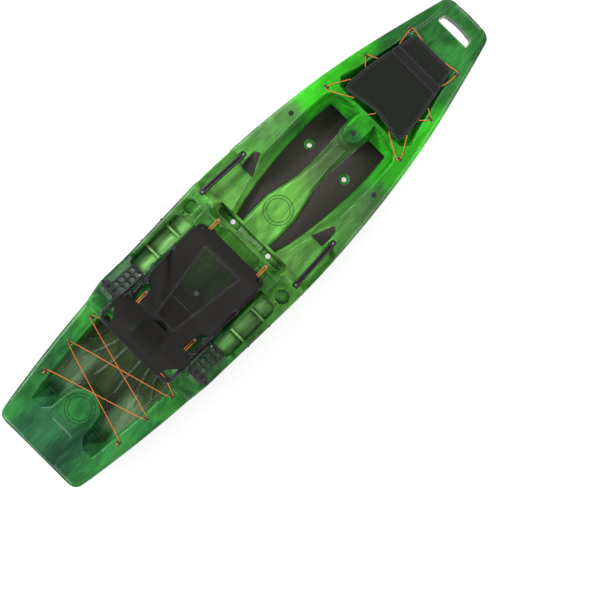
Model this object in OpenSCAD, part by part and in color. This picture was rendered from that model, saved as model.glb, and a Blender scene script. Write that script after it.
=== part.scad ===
// Sit-on-top fishing kayak with a raised folding seat, in millimetres.
// X points to the bow, Y to port and Z up. The origin is amidships, under the flat bottom.

/* [Hull] */
// Length of the hull
hull_l = 3505; // [3420:5:3600]
// Beam of the hull
hull_w = 889; // [870:1:910]
// Height of the foredeck rim
rim_h = 300; // [292:1:308]
// Level of the footwell and seat well floors
floor_z = 105; // [100:1:110]
// Level of the ridge between the footwells
ridge_z = 135; // [130:1:142]
// Level of the tankwell floor
tank_z = 150; // [144:1:156]
// Radius of the scupper holes
scupper_r = 16; // [13:0.5:18]
// Radius of the countersink round a scupper
scupper_sink_r = 30; // [26:0.5:32]
// Distance of the scuppers from the centreline
scupper_y = 144; // [138:1:150]
// Length of the bow carry slot along the hull
slot_l = 56; // [48:1:62]

/* [Deck fittings] */
// Thickness of the foam pads
pad_t = 5; // [3:0.5:7]
// Margin between a foam pad and the edge of its well
pad_gap = 4; // [2:0.5:6]
// Length of a side rail
rail_l = 347; // [340:1:352]
// Width of a side rail
rail_w = 31; // [28:0.5:34]
// Height of a side rail
rail_h = 25; // [20:0.5:28]
// Radius of a rail screw shank
rail_screw_r = 3; // [2.5:0.25:4]
// Radius of an accessory insert body
insert_r = 10; // [8:0.5:11]
// Radius of the threaded hole in an accessory insert
insert_thread_r = 3.25; // [2.5:0.25:4.5]
// Radius of a cup holder
cup_r = 42; // [38:0.5:45]
// Depth of the pocket that a pad eye sits in
eye_recess = 3.5; // [3:0.25:4]
// Length of a pad eye's foot
eye_l = 40; // [38:0.5:42]
// Inner radius of a pad eye's arch
eye_r = 6.5; // [6:0.25:7]
// Diameter of the orange bungee cord
bungee_d = 5; // [4:0.25:6]
// Diameter of the black hem cord
hem_d = 8; // [6:0.25:9]
// Thickness of the bow well cover
cover_t = 3; // [2:0.25:4]
// Slope of a tool holder plate
holder_slope = 33; // [30:0.5:35]
// Length of a tool holder plate
holder_l = 235; // [225:1:240]
// Width of a tool holder plate
holder_w = 88; // [80:1:92]
// Thickness of a tool holder plate
holder_t = 7; // [6:0.5:9]
// Radius of the drain plug's shank
plug_r = 12; // [10:0.25:14]

/* [Seat] */
// Length of the seat pan from the rear bar to the front bend
pan_l = 530; // [515:1:540]
// Width of the pan over its tube centres at the front
pan_front_w = 476; // [460:1:484]
// Width of the pan over its tube centres at the rear
pan_rear_w = 472; // [460:1:480]
// Drop from the front bend of the pan to its front bar
pan_drop = 76; // [66:1:84]
// Diameter of the frame tubes
tube_d = 22; // [20:0.5:24]
// Bend radius of the frame tubes
bend_r = 46; // [40:1:52]
// Distance from the rear bar to the hinge of the back
hinge_in = 145; // [138:1:152]
// Width of the back over its tube centres at the hinge
back_low_w = 528; // [522:1:534]
// Width of the back over its tube centres at the top
back_top_w = 500; // [490:1:506]
// Length of the back from the hinge to the upper bend
back_l = 353; // [340:1:365]
// Recline of the back from upright
back_recline = 32.5; // [28:0.5:36]
// Length of the part of the back above the upper bend
head_l = 77; // [65:1:85]
// Radius of the hinge bolts
bolt_r = 4; // [3.5:0.25:5]
// Thickness of the seat fabric
fabric_t = 5; // [3:0.5:6]
// Sag of the pan fabric in the middle
pan_sag = 24; // [15:1:30]
// Width of the recline straps
strap_w = 25; // [20:1:30]
// Thickness of the recline straps
strap_t = 2.4; // [2:0.1:3]
// Height of a seat foot below its tube
foot_h = 5; // [4:0.5:8]

/* [Hidden] */
$fn = 48;
along = hull_l / 3505;     // the lines below are drawn for this length,
across = hull_w / 889;     // this beam
up = rim_h / 300;          // and this rim height
tube_r = tube_d / 2;
eps = 0.02;                // running clearance between a pin and its bore
seat_gap = 0.3;            // gap of a soft piece beside what carries it
cut_top = 470;             // the cutters reach above every deck feature

// Seat layout
rear_bar_x = -745 * along;
front_reach = 65;          // from the front bend to the front bar
bar_x = rear_bar_x + pan_l + front_reach;
rear_seat_z = 346 * up;    // level of the moulded rear supports
front_seat_z = 382 * up;   // level of the moulded front supports
rear_z = rear_seat_z + foot_h + tube_r;
bar_z = front_seat_z + foot_h + tube_r;
knee_x = rear_bar_x + pan_l;
knee_z = bar_z + pan_drop;
pan_slope = (knee_z - rear_z) / pan_l;
function pan_z(x) = rear_z + pan_slope * (x - rear_bar_x);
function pan_half(x) = (pan_rear_w + (pan_front_w - pan_rear_w) * (x - rear_bar_x) / pan_l) / 2;
hinge_x = rear_bar_x + hinge_in;
hinge_z = pan_z(hinge_x);
back_dir = [-sin(back_recline), 0, cos(back_recline)];
function back_point(l) = [hinge_x, 0, hinge_z] + back_dir * l;
function back_half(l) = (back_low_w + (back_top_w - back_low_w) * l / back_l) / 2;
head_dir = [-cos(20), 0, sin(20)];
block_back = bar_x - 42;   // the front supports reach from here
block_step = bar_x + 50;   // over this step
block_front = bar_x + 94;  // to here
mound_front = -505 * along;

// Lines of the hull: [x, value]
beam_line = [[-1753, 306], [-1700, 320], [-1500, 350], [-1300, 376], [-1100, 397], [-900, 413],
    [-700, 426], [-400, 438], [0, 444.5], [300, 432], [600, 405], [900, 365], [1100, 328],
    [1300, 283], [1500, 232], [1700, 182], [1753, 170]];
rim_line = [[-1753, 264], [-1600, 270], [-1276, 267], [-1100, 266],
    [-1000, 266], [-960, 266], [-945, 267], [-925, 282], [-900, 304], [-876, 322],
    [-827, 362], [-785, 386], [-740, 362], [-702, 337], [-655, 306], [-620, 283], [-565, 266],
    [-500, 259], [-300, 254], [-150, 262], [-45, 276], [276, 284], [610, 290], [900, 296],
    [1480, 303], [1753, 307]];
deck_line = [[-1753, 262], [-1543, 268], [-905, 266], [-868, 312], [-810, 344], [-760, 347],
    [-735, 348], [-700, 352], [mound_front / along - 24, 385], [mound_front / along - 3, 385],
    [mound_front / along, 250], [block_back / along, 250], [block_back / along + 3, 383],
    [block_step / along, 383], [block_step / along + 3, 397], [block_front / along - 5, 397],
    [block_front / along, 272], [300, 282], [900, 290], [1480, 290], [1753, 296]];
seam_line = [[-1753, 153], [-700, 166], [0, 172], [250, 181], [600, 197], [975, 213], [1753, 222]];
bottom_line = [[-1753, 0], [150, 0], [400, 5], [683, 20], [961, 60], [1152, 118], [1337, 172],
    [1500, 202], [1600, 208], [1753, 214]];
roof_line = [[-1753, 26], [-1400, 40], [-700, 52], [500, 56], [800, 70], [961, 92], [1152, 138],
    [1337, 182], [1500, 206], [1753, 219]];
tunnel_line = [[-1753, 80], [-900, 100], [900, 110], [1337, 96], [1500, 60], [1753, 40]];

// Smooth line through [x, value] pairs
function span_of(x, t, i = 0) = i >= len(t) - 2 || x < t[i + 1].x ? i : span_of(x, t, i + 1);
function tangent(t, i) = let (a = max(i - 1, 0), b = min(i + 1, len(t) - 1)) (t[b].y - t[a].y) / (t[b].x - t[a].x);
function fair(u, t) = let (x = u / along, i = span_of(x, t), w = t[i + 1].x - t[i].x, s = (x - t[i].x) / w)
    t[i].y * (1 + 2 * s) * pow(1 - s, 2) + tangent(t, i) * w * s * pow(1 - s, 2)
    + t[i + 1].y * s * s * (3 - 2 * s) - tangent(t, i + 1) * w * s * s * (1 - s);
function beam_at(x) = across * fair(x, beam_line);
function rim_at(x) = up * fair(x, rim_line);
function deck_at(x) = up * lookup(x / along, deck_line);
function unit(v) = v / norm(v);
function at_y(p, y) = [p.x, y, p.z];

// Rings run from the lowest point over port, top and starboard; a skin joins them along X
module skin(rings, cap = undef) {
    n = len(rings[0]);
    m = len(rings);
    ends = is_undef(cap) ? [[for (j = [0:n - 1]) j]] : cap;
    polyhedron(
        points = [for (r = rings) each r],
        faces = concat(ends,
            [for (i = [0:m - 2], j = [0:n - 1]) let (k = (j + 1) % n)
                each [[i * n + j, (i + 1) * n + j, (i + 1) * n + k], [i * n + j, (i + 1) * n + k, i * n + k]]],
            [for (e = ends) [for (j = [len(e) - 1:-1:0]) (m - 1) * n + e[j]]]));
}

// Symmetric cutter section: floor half width and level, rim half width and level
function basin(x, y0, z0, y1, z1) = [for (p = [[-y0, z0], [y0, z0], [y1, z1], [y1, cut_top],
    [-y1, cut_top], [-y1, z1]]) [x * along, p.x * across, p.y]];
// Port cutter section: floor from a0 to b0, rim from a1 to b1
function trench(x, a0, b0, z0, a1, b1, z1, top = cut_top) = [for (p = [[a0, z0], [b0, z0], [b1, z1],
    [b1, top], [a1, top], [a1, z1]]) [x * along, p.x * across, p.y]];
module both_sides() {
    children();
    mirror([0, 1, 0]) children();
}

// Straight round bar from a to b
module rod(a, b, r) {
    d = b - a;
    translate(a) rotate([0, acos(d.z / norm(d)), atan2(d.y, d.x)]) cylinder(h = norm(d), r = r);
}
function bend_trim(p, i, bend) = i <= 0 || i >= len(p) - 1 ? 0
    : bend * tan(acos(unit(p[i] - p[i - 1]) * unit(p[i + 1] - p[i])) / 2);
// Round bar bent at each inner point of the path, with a thin swage ring where each bend begins
swage = 0.15;
module bent_bar(p, r, bend) {
    union() for (i = [0:len(p) - 2]) {
        u = unit(p[i + 1] - p[i]);
        a = p[i] + u * bend_trim(p, i, bend);
        b = p[i + 1] - u * bend_trim(p, i + 1, bend);
        rod(a, b, r);
        if (i > 0) rod(a - u * 2, a + u * 2, r + swage);
        if (i < len(p) - 2) rod(b - u * 2, b + u * 2, r + swage);
    }
    for (i = [1:len(p) - 2]) {
        u = unit(p[i] - p[i - 1]);
        v = unit(p[i + 1] - p[i]);
        n = unit(v - u * (u * v));
        c = p[i] - u * bend_trim(p, i, bend) + n * bend;
        k = cross(-n, u);
        multmatrix([[-n.x, u.x, k.x, c.x], [-n.y, u.y, k.y, c.y], [-n.z, u.z, k.z, c.z]])
            rotate_extrude(angle = acos(u * v)) translate([bend, 0]) circle(r = r);
    }
}
// Cord along a route of points
module cord(route, d, sides = 8, side_axis = [0, 0, 1]) {
    m = len(route);
    rings = [for (i = [0:m - 1]) let (
        t = unit(route[min(i + 1, m - 1)] - route[max(i - 1, 0)]),
        a = unit(cross(t, side_axis)), b = cross(a, t))
        [for (j = [0:sides - 1]) route[i] + d / 2 * (a * cos(j * 360 / sides) - b * sin(j * 360 / sides))]];
    skin(rings);
}

// Hull

end_round = 40;            // rounding of the hull's two ends
function end_inset(x) = let (d = min(end_round, hull_l / 2 - abs(x)))
    end_round - sqrt(max(0, end_round * end_round - pow(end_round - d, 2)));
transom_rake = 70;
function rake(x, z) = x > -1450 * along || z > 190 ? 0
    : transom_rake * pow((190 - z) / 190, 3) * (-1450 * along - x) / (hull_l / 2 - 1450 * along);
nose_curve = 14;           // the nose is this much further forward in the middle
function half_section(x) = let (
    b = beam_at(x), s = rim_at(x), d = deck_at(x), c = up * lookup(x / along, seam_line),
    zb = lookup(x / along, bottom_line), zt = lookup(x / along, roof_line),
    tw = across * lookup(x / along, tunnel_line), h = c - zb)
    [[0, d], [0.64 * b, d], [0.72 * b, s], [b - 34, s], [b - 12, s - 5], [b - 3, s - 19], [b, c + 8],
     [b - 5, c], [b - 9, c - 0.35 * h], [b - 9 - 0.1 * h, c - 0.7 * h], [b - 9 - 0.24 * h, c - 0.91 * h],
     [b - 9 - 0.45 * h, zb], [tw + 0.3 * h, zb], [0.75 * tw, zt - 0.2 * (zt - zb)], [0, zt]];
function hull_ring(x) = let (
    h = half_section(x), n = len(h), i = end_inset(x), b = h[6].x, top = h[2].y, low = h[11].y,
    mid = (top + low) / 2, fy = 1 - i / b, fz = 1 - min(0.72, i / (top - low)),
    full = concat([for (k = [n - 1:-1:0]) h[k]], [for (k = [1:n - 2]) [-h[k].x, h[k].y]]))
    [for (p = full) let (y = p.x * fy, z = mid + (p.y - mid) * fz)
        [x + rake(x, z) - (x > 0 ? nose_curve * pow(y / 150, 2) * pow(max(0, x - 1500 * along) / 252, 2) : 0), y, z]];
section_step = 85;
hull_xs = concat(
    [for (d = [0, 2, 8, 20, 40]) -hull_l / 2 + d],
    [for (x = [-hull_l / 2 + 110:section_step:-960 * along]) x],
    [for (x = [-945, -925, -905, -868, -827, -785, -740, -702, -655, -620, -565, -529, -508, -505]) x * along],
    [for (i = [1:3]) mound_front + (block_back - mound_front) * i / 4],
    [block_back, block_back + 3 * along, bar_x, block_step, block_step + 3 * along,
     block_front - 5 * along, block_front],
    [for (x = [0:section_step:1640 * along]) x],
    [for (d = [70, 40, 20, 8, 2, 0]) hull_l / 2 - d]);

// [x, depth of the keel's bottom, half width at the top]
keel_line = [[958, 84, 60], [990, 10, 64], [1100, 8, 72], [1220, 8, 70], [1300, 18, 62], [1370, 42, 52],
    [1425, 86, 40], [1465, 134, 27], [1500, 184, 14], [1512, 205, 8]];
module bow_keel() {
    top = 214 * up;
    skin([for (k = keel_line) let (h = top - k.y)
        [for (p = [[-5, 0], [5, 0], [0.45 * k.z, 0.12 * h], [0.86 * k.z, 0.5 * h], [k.z, h],
            [-k.z, h], [-0.86 * k.z, 0.5 * h], [-0.45 * k.z, 0.12 * h]]) [k.x * along, p.x * across, k.y + p.y]]]);
}

// Raised console in front of the footwells, left standing by the cockpit cutter
console_x = 811 * along;
module console() {
    hull() for (x = [console_x, console_x + 80])
        translate([x, 0, ridge_z - 20]) cylinder(h = cut_top, r1 = 88, r2 = 6, $fn = 32);
}
module cockpit_cut() {
    difference() {
        skin([basin(9, 158, ridge_z, 187, 190), basin(120, 184, ridge_z, 216, 190),
            basin(223, 205, ridge_z, 245, 190), basin(300, 214, ridge_z, 276, 296),
            basin(345, 220, ridge_z, 288, 300), basin(604, 236, ridge_z, 288, 300),
            basin(740, 234, ridge_z, 284, 300), basin(856, 220, ridge_z, 272, 300),
            basin(890, 196, 200, 252, 300), basin(914, 150, 262, 196, 300), basin(926, 90, 288, 120, 300)]);
        console();
    }
    // transverse well that joins the footwells to the seat well
    skin([basin(-84, 205, 180, 240, 290), basin(-66, 240, ridge_z, 262, 290),
        basin(-10, 250, ridge_z, 300, 290), basin(9.5, 250, ridge_z, 300, 290)]);
}

// [x, inner edge, outer edge] of a foot pad
pad_line = [[22, 112, 155], [120, 112, 182], [230, 112, 201], [345, 86, 216], [430, 68, 224],
    [604, 64, 230], [740, 72, 228], [856, 83, 217], [905, 97, 197]];
ridge_line = [[0, 93], [230, 97], [345, 72], [430, 46], [496, 30], [905, 30]];
module foot_trench() {
    g = pad_gap;
    skin(concat(
        [let (p = pad_line[0]) trench(p.x - g / along, p.y - g, p.z + g, floor_z,
            lookup(p.x, ridge_line), p.z + g + 2, ridge_z, ridge_z + 12)],
        [for (p = pad_line) trench(p.x + (p == pad_line[8] ? g / along : 0), p.y - g, p.z + g, floor_z,
            lookup(p.x, ridge_line), p.z + g + 2, ridge_z, ridge_z + 12)],
        [trench(932, 104, 180, ridge_z + 10, 60, 190, ridge_z + 11, ridge_z + 12)]));
}
channel_x = -24 * along;
module cross_channel() {
    w = 23;
    difference() {
        translate([channel_x, 0, floor_z - 6]) linear_extrude(ridge_z) {
            square([2 * w, 2 * (250 * across - w)], center = true);
            for (s = [-1, 1]) translate([0, s * (250 * across - w)]) circle(r = w);
        }
        translate([channel_x - 16, -88, 0]) cube([32, 176, floor_z + 7]);
        for (s = [-1, 1]) translate([channel_x - 4, s * 198 * across - 25, 0]) cube([8, 50, floor_z + 3]);
    }
    // grooves across the strip in the middle of the channel
    for (i = [-10:10]) translate([channel_x - 18, i * 8 - 1.5, floor_z + 2]) cube([36, 3, 16]);
}

// Seat well, the passage to the footwells and the channel to the tankwell
module seat_well() {
    skin([basin(mound_front / along, 256, floor_z, 272, 200), basin(block_back / along, 256, floor_z, 272, 200)]);
    skin([basin(block_back / along - 4, 130, ridge_z, 146, 300), basin(-70, 130, ridge_z, 146, 300)]);
    skin([basin(-930, 80, tank_z, 92, 260), basin(mound_front / along + 2, 80, tank_z, 92, 260)]);
}

module tank_platform() {
    skin([basin(-1560, 186, tank_z - 10, 170, 270), basin(-1546, 184, tank_z - 10, 168, 270),
        basin(-1498, 146, tank_z - 10, 124, 270), basin(-1400, 136, tank_z - 10, 116, 270),
        basin(-1335, 122, tank_z - 10, 102, 270), basin(-1296, 84, tank_z - 10, 60, 270),
        basin(-1270, 50, tank_z - 10, 8, 190)]);
}
// Raised ribs that fan out over the tankwell floor: [x, y] on the port side
tank_ribs = [[[-1195, 202], [-1145, 186], [-1080, 153], [-1020, 133], [-955, 119]],
    [[-1224, 80], [-1145, 66], [-1050, 58], [-955, 54]], [[-1090, 252], [-1044, 216], [-1000, 193], [-955, 180]]];
module tank_rib(points) {
    skin([for (p = points) [for (q = [[-9, tank_z - 8], [9, tank_z - 8], [4, tank_z + 7], [-4, tank_z + 7]])
        [p.x * along, p.y * across + q.x, q.y]]]);
}
// Shallow panel let into the stern deck
module stern_panel() {
    skin([basin(-1760, 136, 257.5, 142, 300), basin(-1538, 80, 263.5, 86, 300)]);
}
module tankwell() {
    difference() {
        skin([basin(-1546, 236, 262, 246, 270), basin(-1456, 230, tank_z, 254, 270),
            basin(-1200, 252, tank_z, 280, 270), basin(-986, 266, tank_z, 292, 270),
            basin(-925, 258, tank_z, 290, 270), basin(-905, 240, tank_z + 30, 276, 270)]);
        tank_platform();
        both_sides() for (r = tank_ribs) tank_rib(r);
    }
}
module bow_well() {
    skin([basin(945, 240, 286, 250, 300), basin(990, 232, 165, 283, 300), basin(1100, 205, 165, 246, 300),
        basin(1250, 165, 188, 208, 300), basin(1400, 128, 232, 173, 300), basin(1430, 122, 262, 163, 300),
        basin(1444, 118, 288, 158, 300)]);
}
// Shallow strip across the bow deck with two rows of studs
module bow_strip() {
    difference() {
        translate([1450 * along, -122 * across, 286.5]) cube([34, 244 * across, 60]);
        for (x = [8, 26], i = [-3:3]) translate([1450 * along + x, i * 33 * across, 280]) cylinder(h = 9.5, r = 3.5, $fn = 12);
    }
}
// Side recess under a rail: open to the side and to the cockpit, with a ramp ahead of it
ramp_x = 229 * along;
ramp_z = 190 * up;
ramp_angle = 36;
module rail_recess() {
    top_x = ramp_x + (296 * up - ramp_z) / tan(ramp_angle);
    // [x, inner edge, level, level at the foot of the side, level at the side]
    skin([for (r = [[-42 * along, 300, 292, 294, 296], [6 * along, 184, 190, 193, 222],
        [ramp_x, 238, 190, 194, 222], [ramp_x + 56, 222, 230.7, 306, 330], [top_x, 200, 296, 312, 335]])
        [for (p = [[r[1], r[2]], [322, r[2]], [335, r[3]], [480, r[4]], [480, cut_top / up], [r[1], cut_top / up]])
            [r[0], p.x * across, p.y * up]]]);
    on_ramp() translate([0, 0, -1]) linear_extrude(20) side_pad_shape(1);
}

rail_mid = [129 * along, 367 * across];
rail_angle = -3;
rail_z = 250 * up;
module place_rail() {
    translate([rail_mid.x, rail_mid.y, rail_z]) rotate([0, 0, rail_angle]) children();
}
rail_hole_x = rail_l / 2 - 15;
module rail_seat() {
    gap = 1;
    place_rail() {
        translate([-rail_l / 2 - gap, -rail_w / 2 - gap, 0]) cube([rail_l + 2 * gap, rail_w + 2 * gap, 60]);
        for (s = [-1, 1]) translate([s * rail_hole_x, 0, -30]) cylinder(h = 31, r = rail_screw_r + eps, $fn = 24);
    }
}

tray_floor = 192 * up;
tray_sill = 230 * up;
tray_walls = [-470, -305];
module tray_outline() {
    polygon([for (p = [[-604, 290], [-604, 381], [-575, 392], [-232, 392], [-200, 367], [-200, 305], [-214, 290]])
        [p.x * along, p.y * across]]);
}
module tray() {
    wall = 14;
    translate([0, 0, tray_sill]) linear_extrude(cut_top - tray_sill) tray_outline();
    translate([0, 0, tray_floor]) linear_extrude(tray_sill) difference() {
        tray_outline();
        for (x = tray_walls) translate([x * along - wall / 2, 250]) square([wall, 200]);
    }
    translate([cup_x, cup_y, tray_floor]) cylinder(h = cut_top, r = cup_r);
    translate([-206 * along, cup_y - 5, tray_sill]) cube([(-134 + 206) * along, 10, 80]);
}
cup_x = -134 * along;
cup_y = 367 * across;

holder_x = -790 * along;
holder_y = 279 * across;
holder_z = 394 * up;
module place_holder() {
    translate([holder_x, holder_y, holder_z]) rotate([0, holder_slope, 0]) children();
}
module holder_seat() {
    gap = 3;
    place_holder() translate([-45, -gap, -holder_t]) cube([holder_l + 80, 190, 140]);
}
// Flat seats for the seat feet, on the moulded supports
foot_l = 32;
foot_w = 40;
rear_foot_y = 148 * across;
front_foot_l = 26;
front_foot_y = 160 * across;
module foot_seats() {
    gap = 2;
    translate([rear_bar_x - foot_w / 2 - gap, rear_foot_y - foot_l / 2 - gap, rear_seat_z])
        cube([foot_w + 2 * gap, foot_l + 2 * gap, 120]);
    translate([bar_x - foot_w / 2 - gap, front_foot_y - front_foot_l / 2 - gap, front_seat_z])
        cube([foot_w + 2 * gap, front_foot_l + 2 * gap, 120]);
}

// [x, y] of the pad eyes on the port side
bow_eyes = [[889, 290], [1171, 253], [1453, 182]];
tank_eyes = [[-1374, 292], [-1168, 308], [-978, 320]];
function eye_z(e) = rim_at(e.x * along) - eye_recess * up;
function eye_at(e, side = 1) = [e.x * along, side * e.y * across, eye_z(e)];
module eye_seat(e) {
    translate(eye_at(e) - [9, eye_l / 2 + 2, 0]) cube([18, eye_l + 4, 60]);
    translate(eye_at(e) + [0, 0, -14]) for (s = [-1, 1])
        translate([0, s * eye_hole, 0]) cylinder(h = 20, r = eye_screw_r + eps, $fn = 24);
}
eye_hole = eye_l / 2 - 4.5;
eye_screw_r = 2;

insert_at = [[console_x, 0], [643 * along, 330 * across], [643 * along, -330 * across]];
insert_flange_r = insert_r + 6;
insert_t = 3;
insert_l = 28;
function insert_z(p) = (p.y == 0 ? 286 : 286) * up;
module insert_seat(p) {
    translate([p.x, p.y, insert_z(p)]) {
        cylinder(h = 120, r = insert_flange_r + 1);
        translate([0, 0, -insert_l]) cylinder(h = insert_l + 1, r = insert_r + eps);
    }
}

stud_z = 232 * up;
stud_depth = 6;
function stud_y(x) = beam_at(x) - stud_depth;
module stud_seat(x) {
    translate([x, stud_y(x), stud_z]) rotate([-90, 0, 0]) cylinder(h = 20, r = 9, $fn = 32);
    translate([x, stud_y(x) - 14, stud_z]) rotate([-90, 0, 0]) cylinder(h = 15, r = 3 + eps, $fn = 24);
}

plug_z = 112 * up;
plug_face = -hull_l / 2 + 34;
module plug_seat() {
    translate([plug_face, 0, plug_z]) rotate([0, -90, 0]) cylinder(h = 60, r = plug_r + 14);
    translate([plug_face - 1, 0, plug_z]) rotate([0, 90, 0]) cylinder(h = 29, r = plug_r + 0.05);
}
module scuppers() {
    for (p = [[612, scupper_y], [-26, scupper_y], [612, -scupper_y], [-26, -scupper_y], [-478, 0]]) {
        x = p.x * along;
        top = p.x > -500 && p.x < -400 ? floor_z : (p.x < 0 ? floor_z - 6 : floor_z);
        sink = scupper_sink_r - scupper_r;
        translate([x, p.y * (p.y == 0 ? 0 : 1), -60]) cylinder(h = 260, r = scupper_r);
        if (p.x > 0) translate([x, p.y, top - sink]) cylinder(h = sink + 0.01, r1 = scupper_r, r2 = scupper_sink_r);
    }
}
module carry_slot() {
    x = 1603 * along;
    translate([0, 0, 150]) linear_extrude(260) polygon([for (p = [[0, -108], [0, 108], [4, 114], [slot_l - 4, 100],
        [slot_l, 95], [slot_l + 6, 50], [slot_l + 8, 0], [slot_l + 6, -50], [slot_l, -95],
        [slot_l - 4, -100], [4, -114]]) [x + p.x, p.y * across]]);
}
module medallion(x, z) {
    translate([x * along, 0, z]) rotate_extrude() for (r = [[68, 4], [84, 7]]) translate([r.x, -3]) square([r.y, 40]);
}

module hull_blank() {
    skin([for (x = hull_xs) hull_ring(x)]);
    bow_keel();
}
module kayak_hull() {
    color("#2f8f35") difference() {
        hull_blank();
        cockpit_cut();
        both_sides() {
            foot_trench();
            rail_recess();
            rail_seat();
            tray();
            holder_seat();
            foot_seats();
            tie_down_seats();
            for (e = concat(bow_eyes, tank_eyes)) eye_seat(e);
            for (x = tray_walls) stud_seat(x * along);
        }
        cross_channel();
        seat_well();
        tankwell();
        bow_well();
        bow_strip();
        stern_panel();
        for (p = insert_at) insert_seat(p);
        plug_seat();
        scuppers();
        carry_slot();
        medallion(-1394, 268 * up);
        medallion(207, ridge_z);
    }
}

// Foam pads

module foot_pad_shape(g = 0) {
    polygon([for (p = concat([for (q = pad_line) [q.x, q.z]], [for (i = [len(pad_line) - 1:-1:0])
        [pad_line[i].x, pad_line[i].y]])) [p.x * along, p.y * across]]);
}
module foot_pad() {
    difference() {
        translate([0, 0, floor_z]) linear_extrude(pad_t) foot_pad_shape();
        translate([612 * along, scupper_y, floor_z - 1]) cylinder(h = pad_t + 2, r = scupper_sink_r + 2);
    }
}
module foot_pad_port() { color("#3a3532") foot_pad(); }
module foot_pad_starboard() { color("#3a3532") mirror([0, 1, 0]) foot_pad(); }

// A side pad lies on the ramp ahead of a rail recess
module on_ramp() {
    translate([ramp_x, 0, ramp_z]) rotate([0, -ramp_angle, 0]) children();
}
module side_pad_shape(g = 0) {
    k = 1 / cos(ramp_angle);
    polygon([for (p = [[6 - g, 238 - g], [6 - g, 329 + g], [66, 328 + g], [118, 318 + g], [130 + g, 302 + g],
        [128 + g, 289 - g], [100, 279 - g], [60, 262 - g]]) [p.x * k * along, p.y * across]]);
}
module side_pad() {
    on_ramp() translate([0, 0, -1]) linear_extrude(pad_t) side_pad_shape();
}
module side_pad_port() { color("#3a3532") side_pad(); }
module side_pad_starboard() { color("#3a3532") mirror([0, 1, 0]) side_pad(); }

// Side rails: a bar with a foot at each end, a keyed slot along the top and end screws
module side_rail() {
    head = 12;
    place_rail() difference() {
        union() {
            translate([-rail_l / 2, -rail_w / 2, 4]) cube([rail_l, rail_w, rail_h - 4]);
            for (s = [-1, 1]) translate([s * (rail_l / 2 - 19) - 19, -rail_w / 2, 0]) cube([38, rail_w, rail_h]);
        }
        translate([-rail_hole_x + 20, -4, rail_h - 7]) cube([2 * rail_hole_x - 40, 8, 20]);
        translate([-rail_hole_x + 20, -8, rail_h - 12]) cube([2 * rail_hole_x - 40, 16, 6]);
        for (s = [-1, 1]) translate([s * rail_hole_x, 0, -1]) {
            cylinder(h = rail_h + 2, r = rail_screw_r + eps, $fn = 24);
            translate([0, 0, rail_h - 4]) cylinder(h = 20, r = rail_screw_r * 2 + 1, $fn = 24);
        }
    }
}
module side_rail_port() { color("#1b1b1b") side_rail(); }
module side_rail_starboard() { color("#1b1b1b") mirror([0, 1, 0]) side_rail(); }
module rail_screws() {
    long = 22;
    color("#8d9093") both_sides() place_rail() for (s = [-1, 1]) translate([s * rail_hole_x, 0, 0]) difference() {
        union() {
            translate([0, 0, -long]) cylinder(h = long + rail_h - 3, r = rail_screw_r, $fn = 24);
            translate([0, 0, rail_h - 4]) cylinder(h = 3.5, r = rail_screw_r * 2, $fn = 24);
        }
        translate([0, 0, rail_h - 2]) cylinder(h = 5, r = 2, $fn = 6);
    }
}

// Threaded inserts for accessories: one on the console, one on each gunwale
module accessory_inserts() {
    color("#202020") for (p = insert_at) translate([p.x, p.y, insert_z(p)]) difference() {
        union() {
            cylinder(h = insert_t, r = insert_flange_r);
            translate([0, 0, -insert_l]) cylinder(h = insert_l + 1, r = insert_r);
        }
        translate([0, 0, -insert_l + 5]) cylinder(h = insert_l + 10, r = insert_thread_r);
    }
}

// Seat frame

pan_path = [[rear_bar_x, pan_half(rear_bar_x), rear_z], [knee_x, pan_half(knee_x), knee_z],
    [bar_x, pan_half(knee_x), bar_z], [bar_x, -pan_half(knee_x), bar_z],
    [knee_x, -pan_half(knee_x), knee_z], [rear_bar_x, -pan_half(rear_bar_x), rear_z]];
module pan_loop(r) {
    bent_bar(concat([[rear_bar_x, 10, rear_z]], pan_path, [[rear_bar_x, -10, rear_z]]), r, bend_r);
    rod([rear_bar_x, -10, rear_z], [rear_bar_x, 10, rear_z], r + swage);
}
module hinge_axis(y0, y1, r) {
    translate([hinge_x, y0, hinge_z]) rotate([-90, 0, 0]) cylinder(h = y1 - y0, r = r);
}
module seat_pan_frame() {
    color("#26282a") difference() {
        pan_loop(tube_r);
        both_sides() hinge_axis(100, 300, bolt_r + eps);
    }
}

back_path = [at_y(back_point(0), back_low_w / 2), at_y(back_point(back_l), back_top_w / 2),
    at_y(back_point(back_l) + head_dir * head_l, back_top_w / 2),
    at_y(back_point(back_l) + head_dir * head_l, -back_top_w / 2),
    at_y(back_point(back_l), -back_top_w / 2), at_y(back_point(0), -back_low_w / 2)];
head_bend = 34;
eyelet_half = tube_r + 1;   // half width of the eye at the foot of each back tube
brace_at = 128;
brace_r = tube_r - 2;
brace_bend = 34;
brace_path = let (s = back_point(brace_at), w = back_half(brace_at)) [at_y(s, w),
    [s.x - 54, w - 62, s.z - 38], [s.x - 54, 62 - w, s.z - 38], at_y(s, -w)];
module back_loop(r) { bent_bar(back_path, r, head_bend); }
module seat_back_frame() {
    color("#26282a") difference() {
        union() {
            back_loop(tube_r);
            bent_bar(brace_path, brace_r, brace_bend);
            both_sides() hinge_axis(back_low_w / 2 - eyelet_half, back_low_w / 2 + eyelet_half, tube_r + 4);
        }
        both_sides() hinge_axis(100, 400, bolt_r + 0.05);
    }
}

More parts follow.
